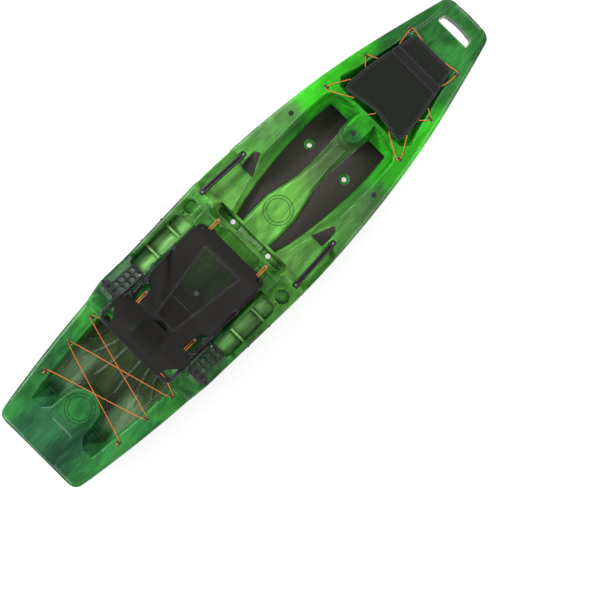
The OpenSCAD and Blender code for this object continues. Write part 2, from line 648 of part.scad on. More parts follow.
// Brackets that carry the hinge on the pan tubes
pan_dir = unit([pan_l, (pan_front_w - pan_rear_w) / 2, knee_z - rear_z]);
module along_pan(x) {
    translate([x, pan_half(x), pan_z(x)])
        rotate([0, -asin(pan_dir.z), atan2(pan_dir.y, pan_dir.x)]) children();
}
bracket_in = pan_half(hinge_x) - tube_r - 4;
bracket_out = back_low_w / 2 - eyelet_half - 0.2;
module hinge_bracket() {
    along_half = 26;
    difference() {
        union() {
            translate([hinge_x, 0, hinge_z]) rotate([0, -asin(pan_dir.z), 0])
                translate([-along_half, bracket_in, -tube_r - 4])
                cube([2 * along_half, bracket_out - bracket_in - 1.5, 2 * tube_r + 8]);
            hinge_axis(bracket_out - 4, bracket_out, tube_r + 3);
        }
        along_pan(hinge_x) rotate([0, 90, 0]) translate([0, 0, -60]) cylinder(h = 120, r = tube_r + eps);
        hinge_axis(100, 400, bolt_r + eps);
    }
}
module hinge_bracket_port() { color("#17181a") hinge_bracket(); }
module hinge_bracket_starboard() { color("#17181a") mirror([0, 1, 0]) hinge_bracket(); }
module hinge_bolts() {
    eye_out = back_low_w / 2 + eyelet_half;
    color("#8d9093") both_sides() {
        hinge_axis(bracket_in - 5, eye_out + 5, bolt_r);
        hinge_axis(eye_out + 0.2, eye_out + 5, 2 * bolt_r);
        translate([hinge_x, bracket_in - 5.1, hinge_z]) rotate([-90, 0, 0])
            cylinder(h = 5, r = 2 * bolt_r - 0.5, $fn = 6);
    }
}

// Saddles under the two cross bars
module foot(x, z, seat_z, l) {
    difference() {
        translate([x - foot_w / 2, -l / 2, seat_z]) cube([foot_w, l, z - seat_z - 1]);
        translate([x, -50, z]) rotate([-90, 0, 0]) cylinder(h = 100, r = tube_r + eps);
    }
}
module seat_feet() {
    color("#17181a") for (s = [-1, 1]) {
        translate([0, s * rear_foot_y, 0]) foot(rear_bar_x, rear_z, rear_seat_z, foot_l);
        translate([0, s * front_foot_y, 0]) foot(bar_x, bar_z, front_seat_z, front_foot_l);
    }
}

// Sling sheet between two tubes: rows of [centre point, half width, sag, normal], from stern to bow
module sling(rows, t) {
    f = [-1, -0.7, -0.35, 0, 0.35, 0.7, 1];
    skin([for (r = rows) let (c = r[0], w = r[1], g = max(1, r[2]), n = r[3])
        concat([for (k = f) c + [0, k * w, 0] - n * (g * (1 - k * k) + t)],
            [for (k = [1, 0.7, 0.35, 0, -0.35, -0.7, -1]) c + [0, k * w, 0] - n * g * (1 - k * k)])],
        [for (j = [0:5]) each [[j, j + 1, 12 - j], [j, 12 - j, 13 - j]]]);
}
sleeve_t = 2;
lift = tube_r + seat_gap + sleeve_t;   // from a tube's centre line to the top of the sling
clamp_x = -362 * along;
clamp_w = 24;
clamp_r = tube_r + 3;
knee_n = unit([-pan_slope, 0, 1]);
drop_n = unit([pan_drop, 0, front_reach]);
// [x, lift above the tube line, sag, normal] along the pan
pan_rows = concat(
    [for (r = [[0, 4], [30, 12], [90, 20], [180, 1], [300, 1], [400, 0.9], [470, 0.5], [505, 0.25]])
        let (x = rear_bar_x + r[0], sag = r[0] < 100 ? r[1] : r[1] * pan_sag)
        [[x, 0, pan_z(x)] + knee_n * lift, pan_half(x), sag, knee_n]],
    [[[knee_x + 4, 0, knee_z] + unit(knee_n + drop_n) * (lift - 2), pan_half(knee_x), 3, unit(knee_n + drop_n)],
     [[knee_x + front_reach * 0.45, 0, knee_z - pan_drop * 0.45] + drop_n * lift, pan_half(knee_x), 2, drop_n],
     [[bar_x - 6, 0, bar_z + 7] + drop_n * lift, pan_half(knee_x), 0, drop_n]]);
cut_in = 62;               // the rear notches reach this far inside the tubes
corner_in = 65;            // and the front corners this far
tongue_half = pan_half(rear_bar_x) - 86;
module seat_pan_fabric() {
    a = rear_bar_x + 40;
    b = knee_x - 30;
    h = pan_half(hinge_x);
    k = pan_half(knee_x);
    color("#141516") difference() {
        union() {
            sling(pan_rows, fabric_t - 1);
            both_sides() rod([a, pan_half(a), pan_z(a)], [b, pan_half(b), pan_z(b)], lift);
            rod([rear_bar_x, -tongue_half, rear_z], [rear_bar_x, tongue_half, rear_z], lift);
            rod([bar_x, corner_in + 3 - k, bar_z], [bar_x, k - corner_in - 3, bar_z], lift);
        }
        pan_loop(tube_r + seat_gap);
        both_sides() {
            pan_prism([[rear_bar_x + 12, h - cut_in], [rear_bar_x + 12, h + 64], [hinge_x + 40, h + 64],
                [hinge_x + 34, h - 10], [hinge_x - 6, h - cut_in + 10], [hinge_x - 40, h - cut_in]]);
            pan_prism([[knee_x + 15, k + 62], [knee_x + 15, k - 2], [bar_x - 34, k - corner_in + 15],
                [bar_x - 22, k - corner_in], [bar_x + 50, k - corner_in], [bar_x + 50, k + 62]]);
            translate([clamp_x - lug_l - 8, pan_half(clamp_x) - 16, 300])
                cube([lug_l + 8 + clamp_w / 2 + 5, 60, 300]);
            for (p = [[rear_bar_x, rear_foot_y, rear_z, foot_l], [bar_x, front_foot_y, bar_z, front_foot_l]])
                translate([p.x - 30, p.y - p[3] / 2 - 1, p.z - 60]) cube([60, p[3] + 2, 90]);
            pan_prism([[rear_bar_x - 155, tongue_half], [rear_bar_x - 155, h + 64], [rear_bar_x + 25, h + 64],
                [rear_bar_x + 25, tongue_half]]);
        }
        pan_prism([for (g = [0:15:180]) [rear_bar_x + 3 + 44 * sin(g), 52 * cos(g)]]);
    }
}
module pan_prism(points) {
    translate([0, 0, 300]) linear_extrude(400) polygon(points);
}

back_n = [cos(back_recline), 0, sin(back_recline)];
head_n = unit([sin(20), 0, cos(20)]);
back_clamp = 230;
back_rows = concat(
    [for (r = [[140, 10], [165, 22], [220, 34], [280, 30], [325, 18]])
        [back_point(r[0]) + back_n * lift, back_half(r[0]), r[1], back_n]],
    [[back_point(back_l + 3) + unit(back_n + head_n) * (lift - 1), back_top_w / 2, 9, unit(back_n + head_n)],
     [back_point(back_l) + head_dir * 40 + head_n * lift, back_top_w / 2, 4, head_n],
     [back_point(back_l) + head_dir * (head_l + 3) + head_n * lift, back_top_w / 2, 0, head_n]]);
module seat_back_fabric() {
    a = 150;
    b = back_l - 22;
    tip = back_point(back_l) + head_dir * head_l;
    color("#141516") difference() {
        union() {
            sling([for (i = [len(back_rows) - 1:-1:0]) back_rows[i]], fabric_t - 1);
            both_sides() rod(at_y(back_point(a), back_half(a)), at_y(back_point(b), back_half(b)), lift);
            rod(at_y(tip, 60 - back_top_w / 2), at_y(tip, back_top_w / 2 - 60), lift);
        }
        back_loop(tube_r + seat_gap);
        bent_bar(brace_path, brace_r + 1, brace_bend);
        both_sides() {
            translate(at_y(back_point(back_clamp), back_half(back_clamp) - 27)) rotate([0, -back_recline, 0])
                translate([-60, 0, -lug_l - 24]) cube([120, 60, lug_l + 24 + clamp_w / 2 + 1]);
            translate(at_y(tip, back_top_w / 2 + 50)) rotate([0, -70, 0])
                translate([-60, -90, -40]) cube([120, 90, 70]);
        }
    }
}

// Recline straps with their clamps and buckles
lug_t = 7;
strap_from = [clamp_x, pan_half(clamp_x) + clamp_r, pan_z(clamp_x)];
strap_to = at_y(back_point(back_clamp), back_half(back_clamp) - clamp_r);
strap_dir = unit(strap_to - strap_from);
strap_len = norm(strap_to - strap_from);
lug_l = 30;
module on_strap(l) {
    translate(strap_from + strap_dir * l)
        rotate([0, -asin(strap_dir.z), atan2(strap_dir.y, strap_dir.x)]) children();
}
module recline_strap() {
    on_strap(lug_l) translate([0, -strap_t / 2, -strap_w / 2]) cube([strap_len - 2 * lug_l - seat_gap, strap_t, strap_w]);
}
module recline_strap_port() { color("#101010") recline_strap(); }
module recline_strap_starboard() { color("#101010") mirror([0, 1, 0]) recline_strap(); }
buckle_at = 0.55;
module strap_buckle() {
    on_strap(strap_len * buckle_at) difference() {
        translate([-17, -4, -strap_w / 2 - 5]) cube([34, 8, strap_w + 10]);
        translate([-20, -strap_t / 2 - eps, -strap_w / 2 - eps]) cube([40, strap_t + 2 * eps, strap_w + 2 * eps]);
        for (x = [-10, 3]) translate([x, -10, -strap_w / 2 + 2]) cube([7, 9, strap_w - 4]);
    }
}
module strap_buckle_port() { color("#17181a") strap_buckle(); }
module strap_buckle_starboard() { color("#17181a") mirror([0, 1, 0]) strap_buckle(); }
module lug(far) {
    translate([far ? -lug_l : 0, -lug_t / 2, -strap_w / 2]) cube([lug_l, lug_t, strap_w]);
}
module lower_strap_clamps() {
    color("#17181a") both_sides() difference() {
        union() {
            along_pan(clamp_x) rotate([0, 90, 0]) translate([0, 0, -clamp_w / 2]) cylinder(h = clamp_w, r = clamp_r);
            on_strap(0) lug(false);
        }
        along_pan(clamp_x) rotate([0, 90, 0]) translate([0, 0, -100]) cylinder(h = 200, r = tube_r + eps);
    }
}
module upper_strap_clamps() {
    color("#17181a") both_sides() difference() {
        union() {
            on_back(back_clamp) translate([0, 0, -clamp_w / 2]) cylinder(h = clamp_w, r = clamp_r);
            on_strap(strap_len) lug(true);
        }
        on_back(back_clamp) translate([0, 0, -100]) cylinder(h = 200, r = tube_r + eps);
    }
}
module on_back(l) {
    tilt = atan2((back_low_w - back_top_w) / 2, back_l);
    translate(at_y(back_point(l), back_half(l))) rotate([0, -back_recline, 0]) rotate([tilt, 0, 0]) children();
}

// Bungees that hold the seat down: two strands from a loop on a screwed post, over a cross bar, to a toggle
bead_r = 12;
bead_h = 11;
toggle = [11, 24, 9];
strand_y = 6;              // each strand is this far beside the middle
post_r = 3;
// [post x, bar x, bar z, toggle x, y, post floor, toggle floor]
tie_downs = [
    [-644 * along, rear_bar_x, rear_z, -786 * along, 188 * across, up * lookup(-652, deck_line) - 1, 345 * up],
    [bar_x + 72, bar_x, bar_z, bar_x - 33, 184 * across, 396.5 * up, 384.5 * up]];
function around(bar, p, r, side) = let (d = p - bar)
    [atan2(d.y, d.x) + side * acos(r / norm(d))];
function tie_route(t, side) = let (
    bar = [t[1], t[2]], r = tube_r + bungee_d / 2 + seat_gap, y = t[4] + side * strand_y,
    bead = [t[0] - bead_r + 4, t[5] + 6], knot = [t[3] + toggle.x / 2 - 3, t[6] + 5],
    a = around(bar, bead, r, 1)[0], b = around(bar, knot, r, -1)[0] + 360)
    concat([[bead.x, y, bead.y]],
        [for (k = [0:5]) let (g = a + (b - a) * k / 5) [bar.x + r * cos(g), y, bar.y + r * sin(g)]],
        [[knot.x, y, knot.y]]);
module tie_down_cords() {
    color("#f07814") both_sides() for (t = tie_downs, k = [-1, 1]) cord(tie_route(t, k), bungee_d);
}
module tie_down_beads() {
    color("#f07814") both_sides() for (t = tie_downs) difference() {
        union() {
            translate([t[0], t[4], t[5]]) cylinder(h = bead_h, r = bead_r, $fn = 32);
            translate([t[3] - toggle.x / 2, t[4] - toggle.y / 2, t[6]]) cube(toggle);
        }
        translate([t[0], t[4], t[5] - 1]) cylinder(h = bead_h + 2, r = post_r + eps, $fn = 24);
        for (k = [-1, 1]) let (q = tie_route(t, k), n = len(q)) {
            rod(q[0], q[1], bungee_d / 2 + eps);
            rod(q[n - 1], q[n - 2], bungee_d / 2 + eps);
        }
    }
}
module tie_down_screws() {
    color("#b9bcbe") both_sides() for (t = tie_downs) translate([t[0], t[4], t[5]]) difference() {
        union() {
            translate([0, 0, -16]) cylinder(h = 17 + bead_h, r = post_r, $fn = 24);
            translate([0, 0, bead_h + 0.05]) cylinder(h = 3, r = 6.5, $fn = 32);
        }
        translate([0, 0, bead_h + 1.5]) cylinder(h = 5, r = 2, $fn = 6);
    }
}
module tie_down_seats() {
    for (t = tie_downs) {
        translate([t[0], t[4], t[5]]) cylinder(h = 60, r = bead_r + 3, $fn = 32);
        translate([t[0], t[4], t[5] - 17]) cylinder(h = 18, r = post_r + eps, $fn = 24);
        translate([t[3] - toggle.x / 2 - 2, t[4] - toggle.y / 2 - 2, t[6]])
            cube([toggle.x + 4, toggle.y + 4, 60]);
    }
}

// Bow well cover with its hem and lashing

cover_z = 305 * up;
cover_half = [[990, 0], [984, 60], [970, 130], [963, 190], [972, 206], [1014, 213], [1110, 203], [1202, 189],
    [1346, 159], [1400, 134], [1432, 106], [1441, 88], [1444, 0]];
cover_loop = let (n = len(cover_half)) [for (p = concat(cover_half, [for (i = [n - 2:-1:1])
    [cover_half[i].x, -cover_half[i].y]])) [p.x * along, p.y * across]];
function corner_out(t, i) = let (n = len(t), a = unit(t[i] - t[(i + n - 1) % n]), b = unit(t[(i + 1) % n] - t[i]))
    unit([-(a + b).y, (a + b).x]) / max(0.6, sqrt((1 + a * b) / 2));
function grown(t, g) = [for (i = [0:len(t) - 1]) t[i] + corner_out(t, i) * g];
hem_gap = hem_d / 2 + 0.2;
module bow_cover() {
    color("#151a16") translate([0, 0, cover_z]) linear_extrude(cover_t) polygon(cover_loop);
}
module cover_hem() {
    color("#101010") cord_loop([for (p = grown(cover_loop, hem_gap)) [p.x, p.y, cover_z + cover_t / 2]], hem_d);
}
// Closed loop of cord round a level route
module cord_loop(route, d, sides = 8) {
    n = sides;
    m = len(route);
    rings = [for (i = [0:m - 1]) let (
        t = unit(route[(i + 1) % m] - route[(i + m - 1) % m]), a = unit(cross(t, [0, 0, 1])), b = cross(a, t))
        [for (j = [0:n - 1]) route[i] + d / 2 * (a * cos(j * 360 / n) - b * sin(j * 360 / n))]];
    polyhedron(points = [for (r = rings) each r],
        faces = [for (i = [0:m - 1], j = [0:n - 1]) let (k = (j + 1) % n, u = (i + 1) % m)
            each [[i * n + j, u * n + j, u * n + k], [i * n + j, u * n + k, i * n + k]]]);
}
eye_cord_z = 6.3;
// Each V runs from the hem through a pad eye and back. Its two ends: [x, y, way out of the hem, whether it
// passes round the inner end of the eye's foot]
lash_ends = [[[963, 137, 180, true], [1014, 213, 90, false]], [[1118, 202, 82, false], [1202, 189, 79, false]],
    [[1346, 159, 75, false], [1441, 90, 0, true]]];
lash_out = hem_gap + hem_d / 2 + bungee_d / 2 + 0.4;
function lash_end(p) = [p.x * along + lash_out * cos(p.z), p.y * across + lash_out * sin(p.z), cover_z + cover_t / 2];
function lash_mid(e, p, s) = p[3] ? e + [s * 13, -16, 0.4] : e + (lash_end(p) - e) * 0.3 + [s * 3, 5, 0];
function lash_route(i) = let (e = eye_at(bow_eyes[i]) + [0, 0, eye_cord_z], a = lash_ends[i][0], b = lash_ends[i][1])
    [lash_end(a), lash_mid(e, a, -1), e + [-11, 1, 0], e, e + [11, 1, 0], lash_mid(e, b, 1), lash_end(b)];
module cover_lashing() {
    color("#f07814") {
        both_sides() for (i = [0:2]) cord(lash_route(i), bungee_d);
        knot = [938 * along, 14 * across, deck_at(938) + 3];
        hook = [(990 - hem_d - 3) * along, -8 * across, cover_z + cover_t / 2];
        cord([knot, knot + [10, -2, 3], hook - [8, -2, 1], hook], bungee_d);
    }
}

// Pad eyes: a foot across the gunwale with an arch over it
module pad_eye() {
    difference() {
        union() {
            translate([-6, 6 - eye_l / 2, 0]) cube([12, eye_l - 12, 3]);
            for (s = [-1, 1]) translate([0, s * (eye_l / 2 - 6), 0]) cylinder(h = 3, r = 6, $fn = 24);
            translate([0, 0, 2.5]) rotate([0, 90, 0]) rotate([0, 0, 90]) rotate_extrude(angle = 180)
                translate([eye_r + 2.25, 0]) circle(r = 2.25);
        }
        for (s = [-1, 1]) translate([0, s * eye_hole, -1]) cylinder(h = 9, r = eye_screw_r + eps, $fn = 24);
    }
}
all_eyes = concat(bow_eyes, tank_eyes);
module pad_eyes() {
    color("#17181a") for (s = [-1, 1]) for (e = all_eyes) translate(eye_at(e, s)) pad_eye();
}
module pad_eye_screws() {
    color("#8d9093") for (s = [-1, 1]) for (e = all_eyes) translate(eye_at(e, s))
        for (k = [-1, 1]) translate([0, k * eye_hole, 0]) {
            translate([0, 0, -13]) cylinder(h = 17, r = eye_screw_r, $fn = 24);
            translate([0, 0, 3.05]) cylinder(h = 2, r = 3.6, $fn = 24);
        }
}

// One cord crosses the tankwell from eye to eye
function tank_eye(i, s) = eye_at(tank_eyes[i], s) + [0, 0, eye_cord_z];
function past(p, s) = [for (d = [-11, 0, 11]) p + [s * d, 0, 0]];
function middle(a, b, up_by) = [(a + b) / 2 + [0, 0, up_by]];
function rounded_turn(p, s, g) = [for (a = [15:30:75]) p + [11 + g * sin(a), s * g * (cos(a) - 1), 0]];
tank_route = let (
    a = tank_eye(0, 1), b = tank_eye(1, -1), c = tank_eye(2, 1), d = tank_eye(2, -1), e = tank_eye(1, 1),
    f = tank_eye(0, -1), g = 8)
    concat([a + [-14, 0, 3], a - [5, 0, 0], a, a + [11, 0, 0]], middle(a, b, 9), past(b, 1), middle(b, c, 9), past(c, 1),
        rounded_turn(c, 1, g), [(c + d) / 2 + [11 + g, 0, 0]],
        [for (i = [2:-1:0]) rounded_turn(d, -1, g)[i]], past(d, -1),
        middle(d, e, 3), past(e, -1), middle(e, f, 3), [f + [11, 0, 0], f, f - [5, 0, 0], f + [-14, 0, 3]]);
module tankwell_bungee() {
    color("#f07814") {
        cord(tank_route, bungee_d);
        for (s = [-1, 1]) translate(tank_eye(0, s) + [-20, 0, 3.4]) rotate([0, 90, 0]) cylinder(h = 6.5, r = 5.2, $fn = 32);
    }
}

// Tool holders: a lattice plate and a thicker block that carries the tie rod
rod_r = 4;
rod_at = 24;
block_l = 50;
block_w = 118;
module holder() {
    cells = 4;
    bar = 9;
    cell_l = (holder_l - block_l - bar) / cells;
    cell_w = (holder_w - 3 * bar) / 2;
    place_holder() difference() {
        union() {
            translate([0, 0, -holder_t]) cube([holder_l, holder_w, holder_t]);
            translate([0, -1, -holder_t]) cube([block_l, block_w, holder_t + 9]);
        }
        for (i = [0:cells - 1], j = [0, 1])
            translate([block_l + bar * 0.6 + i * cell_l, bar + j * (cell_w + bar), -holder_t - 1])
                linear_extrude(holder_t + 2) polygon([[0, 4], [cell_l - bar - 8, 0], [cell_l - bar, cell_w * 0.5],
                    [cell_l - bar - 8, cell_w], [0, cell_w - 4]]);
        for (y = [22, 62]) translate([block_l * 0.3, y + 10, 3]) cube([block_l * 0.5, 18, 20]);
        translate([rod_at, -60, 1]) rotate([-90, 0, 0]) cylinder(h = 300, r = rod_r + eps, $fn = 32);
    }
}
module tool_holder_port() { color("#1b1b1b") holder(); }
module tool_holder_starboard() { color("#1b1b1b") mirror([0, 1, 0]) holder(); }
module tool_holder_rods() {
    color("#3c3f42") both_sides() place_holder() translate([rod_at, 0, 1]) {
        translate([0, -2, 0]) rotate([-90, 0, 0]) cylinder(h = block_w + 8, r = rod_r, $fn = 32);
        translate([0, block_w - 0.7, 0]) rotate([-90, 0, 0]) cylinder(h = 11, r = 7.5, $fn = 32);
    }
}

// Round studs beside the trays
module side_studs() {
    color("#202020") both_sides() for (x = tray_walls) translate([x * along, stud_y(x * along), stud_z])
        rotate([-90, 0, 0]) {
            cylinder(h = stud_depth - 1, r = 8, $fn = 32);
            translate([0, 0, -13]) cylinder(h = 14, r = 3, $fn = 24);
        }
}

// Drain plug in the transom
gasket_t = 2;
module drain_plug() {
    color("#202020") translate([plug_face, 0, plug_z]) rotate([0, -90, 0]) {
        translate([0, 0, -24]) cylinder(h = 26, r = plug_r);
        translate([0, 0, gasket_t]) cylinder(h = 5, r = plug_r + 8);
        translate([-4, -18, gasket_t + 4]) cube([8, 36, 10]);
    }
}
module drain_gasket() {
    color("#101010") translate([plug_face, 0, plug_z]) rotate([0, -90, 0]) difference() {
        cylinder(h = gasket_t, r = plug_r + 7);
        translate([0, 0, -1]) cylinder(h = gasket_t + 2, r = plug_r + 0.05);
    }
}

kayak_hull();
foot_pad_port();
foot_pad_starboard();
side_pad_port();
side_pad_starboard();
side_rail_port();
side_rail_starboard();
rail_screws();
accessory_inserts();
seat_pan_frame();
seat_back_frame();
hinge_bracket_port();
hinge_bracket_starboard();
hinge_bolts();
seat_feet();
seat_pan_fabric();
seat_back_fabric();
recline_strap_port();
recline_strap_starboard();
strap_buckle_port();
strap_buckle_starboard();
lower_strap_clamps();
upper_strap_clamps();
tie_down_cords();
tie_down_beads();
tie_down_screws();
bow_cover();
cover_hem();
cover_lashing();
pad_eyes();
pad_eye_screws();
tankwell_bungee();
tool_holder_port();
tool_holder_starboard();
tool_holder_rods();
side_studs();
drain_plug();
drain_gasket();
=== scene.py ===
# Fishing kayak with a raised folding seat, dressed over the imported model
import math

import bmesh
import bpy
import numpy as np
from mathutils import Matrix, Vector, geometry


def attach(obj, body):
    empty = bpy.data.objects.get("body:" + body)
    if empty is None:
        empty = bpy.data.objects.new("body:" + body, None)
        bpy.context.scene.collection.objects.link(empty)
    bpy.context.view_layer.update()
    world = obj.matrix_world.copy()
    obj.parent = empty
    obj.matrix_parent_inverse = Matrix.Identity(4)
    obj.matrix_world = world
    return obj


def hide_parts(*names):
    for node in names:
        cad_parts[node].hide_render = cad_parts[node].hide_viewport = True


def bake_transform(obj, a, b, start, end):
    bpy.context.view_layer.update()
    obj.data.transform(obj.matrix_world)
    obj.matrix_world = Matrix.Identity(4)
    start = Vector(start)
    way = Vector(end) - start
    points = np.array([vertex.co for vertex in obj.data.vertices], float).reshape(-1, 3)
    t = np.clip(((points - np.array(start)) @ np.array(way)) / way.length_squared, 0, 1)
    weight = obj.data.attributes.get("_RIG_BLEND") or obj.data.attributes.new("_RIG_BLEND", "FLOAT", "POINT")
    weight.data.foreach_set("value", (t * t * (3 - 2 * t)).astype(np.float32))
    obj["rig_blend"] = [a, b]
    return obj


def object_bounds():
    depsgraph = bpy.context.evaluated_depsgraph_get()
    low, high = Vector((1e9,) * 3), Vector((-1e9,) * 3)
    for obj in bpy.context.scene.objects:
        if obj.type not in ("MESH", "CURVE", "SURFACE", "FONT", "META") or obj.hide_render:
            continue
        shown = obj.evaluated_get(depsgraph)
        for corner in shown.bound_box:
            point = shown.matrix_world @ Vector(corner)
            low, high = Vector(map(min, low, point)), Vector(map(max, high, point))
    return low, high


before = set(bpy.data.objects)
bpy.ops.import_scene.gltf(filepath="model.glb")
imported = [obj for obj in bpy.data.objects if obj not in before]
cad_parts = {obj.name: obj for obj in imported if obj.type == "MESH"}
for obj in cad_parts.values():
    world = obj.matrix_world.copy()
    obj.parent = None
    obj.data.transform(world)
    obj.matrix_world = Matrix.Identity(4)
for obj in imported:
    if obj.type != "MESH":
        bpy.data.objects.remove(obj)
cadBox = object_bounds()
scene = bpy.context.scene
scene.view_settings.view_transform = "Standard"


# Helpers for nodes and objects

# inputs gives each named or numbered socket a value, or another node's output
def feed(tree, node, inputs):
    for key, value in inputs.items():
        if isinstance(value, bpy.types.NodeSocket):
            tree.links.new(value, node.inputs[key])
        else:
            node.inputs[key].default_value = value


def put(tree, kind, inputs=None, **settings):
    made = tree.nodes.new(kind)
    for key, value in settings.items():
        setattr(made, key, value)
    feed(tree, made, inputs or {})
    return made


def newTree(name, kind, inputs, outputs):
    tree = bpy.data.node_groups.new(name, kind)
    for label, sort, value in inputs:
        socket = tree.interface.new_socket(label, in_out="INPUT", socket_type="NodeSocket" + sort)
        if value is not None:
            socket.default_value = value
    for label, sort in outputs:
        tree.interface.new_socket(label, in_out="OUTPUT", socket_type="NodeSocket" + sort)
    return tree, put(tree, "NodeGroupInput").outputs


def mathNode(tree, operation, first, second=None, clamp=False):
    values = {0: first} if second is None else {0: first, 1: second}
    return put(tree, "ShaderNodeMath", values, operation=operation, use_clamp=clamp).outputs[0]


def times(tree, first, second):
    return mathNode(tree, "MULTIPLY", first, second)


def plus(tree, first, second, clamp=False):
    return mathNode(tree, "ADD", first, second, clamp)


def minus(tree, first, second):
    return mathNode(tree, "SUBTRACT", first, second)


def vectorNode(tree, operation, *values):
    return put(tree, "ShaderNodeVectorMath", dict(enumerate(values)), operation=operation).outputs[0]


def scaled(tree, vector, factor):
    return put(tree, "ShaderNodeVectorMath", {0: vector, "Scale": factor}, operation="SCALE").outputs[0]


def split(tree, vector):
    return tuple(put(tree, "ShaderNodeSeparateXYZ", {0: vector}).outputs)


def joined(tree, x, y, z=0.0):
    return put(tree, "ShaderNodeCombineXYZ", {"X": x, "Y": y, "Z": z}).outputs[0]


def addObject(name, data):
    obj = bpy.data.objects.new(name, data)
    scene.collection.objects.link(obj)
    return obj


def grey(value):
    return value, value, value, 1


# Camera and studio

# The pixels are where the ends of the hull lie in the square picture
cameraSet = {
    "picture": 600, "sternPixel": (34.9, 454), "bowPixel": (470.3, 15.5), "hullLength": 3.505,
    "under": (-0.03, -0.23), "height": 5.4, "level": 0.28, "sensor": 36, "clip": (0.5, 100)}


def makeCamera():
    sx, sy = cameraSet["sternPixel"]
    bx, by = cameraSet["bowPixel"]
    middle = cameraSet["picture"] / 2
    turn = math.atan2(sy - by, bx - sx)
    perMetre = math.hypot(bx - sx, by - sy) / cameraSet["hullLength"]
    frameWidth = cameraSet["picture"] / perMetre
    right = Vector((math.cos(turn), -math.sin(turn), 0))
    up = Vector((math.sin(turn), math.cos(turn), 0))
    centre = right * ((middle - (sx + bx) / 2) / perMetre) + up * (((sy + by) / 2 - middle) / perMetre)
    under = Vector((*cameraSet["under"], 0))
    cam = bpy.data.cameras.new("topCamera")
    cam.sensor_width = cameraSet["sensor"]
    cam.lens = cameraSet["sensor"] * (cameraSet["height"] - cameraSet["level"]) / frameWidth
    cam.shift_x = (centre - under).dot(right) / frameWidth
    cam.shift_y = (centre - under).dot(up) / frameWidth
    cam.clip_start, cam.clip_end = cameraSet["clip"]
    obj = addObject("topCamera", cam)
    axes = Matrix((right, up, Vector((0, 0, 1)))).transposed()
    obj.matrix_world = Matrix.Translation(under + Vector((0, 0, cameraSet["height"]))) @ axes.to_4x4()
    scene.camera = obj
    print("camera lens", round(cam.lens, 1), "shift", round(cam.shift_x, 3), round(cam.shift_y, 3))


def areaLamp(name, place, target, size, watts):
    lamp = bpy.data.lights.new(name, "AREA")
    lamp.shape = "RECTANGLE"
    lamp.size, lamp.size_y = size
    lamp.energy = watts
    obj = addObject(name, lamp)
    obj.location = place
    obj.rotation_euler = (Vector(target) - Vector(place)).to_track_quat("-Z", "Y").to_euler()


# A lamp is its name, place, target, size and watts
studio = {
    "worldGrey": 0.9, "worldStrength": 0.36, "floorSize": 40, "floorGrey": 0.42, "floorGlow": 0.72,
    "floorDrop": 0.0006,
    "lamps": [("keyLamp", (-0.8, 3.4, 3.6), (0, 0, 0.2), (5.0, 0.7), 225),
              ("fillLamp", (1.8, -3.6, 4.2), (0, 0, 0.2), (4.0, 1.2), 125),
              ("bowLamp", (4.2, 0.6, 2.6), (1, 0, 0.2), (1.6, 1.6), 45),
              ("sternLamp", (-4.5, 0.5, 2.5), (-1, 0, 0.2), (2.0, 1.0), 55)]}


# The camera sees a white world, which lights the object as a grey one
def makeWorld():
    world = bpy.data.worlds.new("studioWorld")
    scene.world = world
    world.use_nodes = True
    tree = world.node_tree
    back = tree.nodes["Background"]
    feed(tree, back, {"Color": grey(studio["worldGrey"]), "Strength": studio["worldStrength"]})
    seen = put(tree, "ShaderNodeBackground", {"Color": grey(1)})
    ray = put(tree, "ShaderNodeLightPath").outputs["Is Camera Ray"]
    mix = put(tree, "ShaderNodeMixShader", {0: ray, 1: back.outputs[0], 2: seen.outputs[0]})
    feed(tree, tree.nodes["World Output"], {"Surface": mix.outputs[0]})


def makeFloor():
    mesh = bpy.data.meshes.new("studioFloor")
    h = studio["floorSize"] / 2
    mesh.from_pydata([(-h, -h, 0), (h, -h, 0), (h, h, 0), (-h, h, 0)], [], [(0, 1, 2, 3)])
    floor = addObject("studioFloor", mesh)
    floor.location = (0, 0, -studio["floorDrop"])
    mat = bpy.data.materials.new("paleFloor")
    mat.use_nodes = True
    tree = mat.node_tree
    tree.nodes.clear()
    diffuse = put(tree, "ShaderNodeBsdfDiffuse", {"Color": grey(studio["floorGrey"])})
    rays = put(tree, "ShaderNodeLightPath").outputs
    either = mathNode(tree, "MAXIMUM", rays["Is Glossy Ray"], rays["Is Transmission Ray"])
    seen = mathNode(tree, "MAXIMUM", rays["Is Camera Ray"], either)
    glow = put(tree, "ShaderNodeEmission", {"Strength": times(tree, seen, studio["floorGlow"])})
    both = put(tree, "ShaderNodeAddShader", {0: diffuse.outputs[0], 1: glow.outputs[0]})
    put(tree, "ShaderNodeOutputMaterial", {"Surface": both.outputs[0]})
    mesh.materials.append(mat)


makeCamera()
makeWorld()
for lamp in studio["lamps"]:
    areaLamp(*lamp)
makeFloor()
print("studio is lit")


# Shader node groups that several finishes share

noises = {
    "warp": {"Scale": 1.7, "Detail": 2}, "broad": {"Detail": 4, "Roughness": 0.52, "Distortion": 0.7},
    "fine": {"Detail": 5, "Distortion": 1.4}, "grain": {"Detail": 3},
    "rubbed": {"Scale": 34, "Detail": 6, "Roughness": 0.7}, "fleck": {"Scale": 260}}
fineTimes = 3.4  # how much finer the fine mottle is than the broad one
rubbedFrom = (0.56, 0.74)  # where the noise begins to show as wear, and where it is full
weaveGap = 0.62  # threads lower than this on both sides leave a hole


def noise(tree, name, **inputs):
    return put(tree, "ShaderNodeTexNoise", {**noises[name], **inputs}).outputs


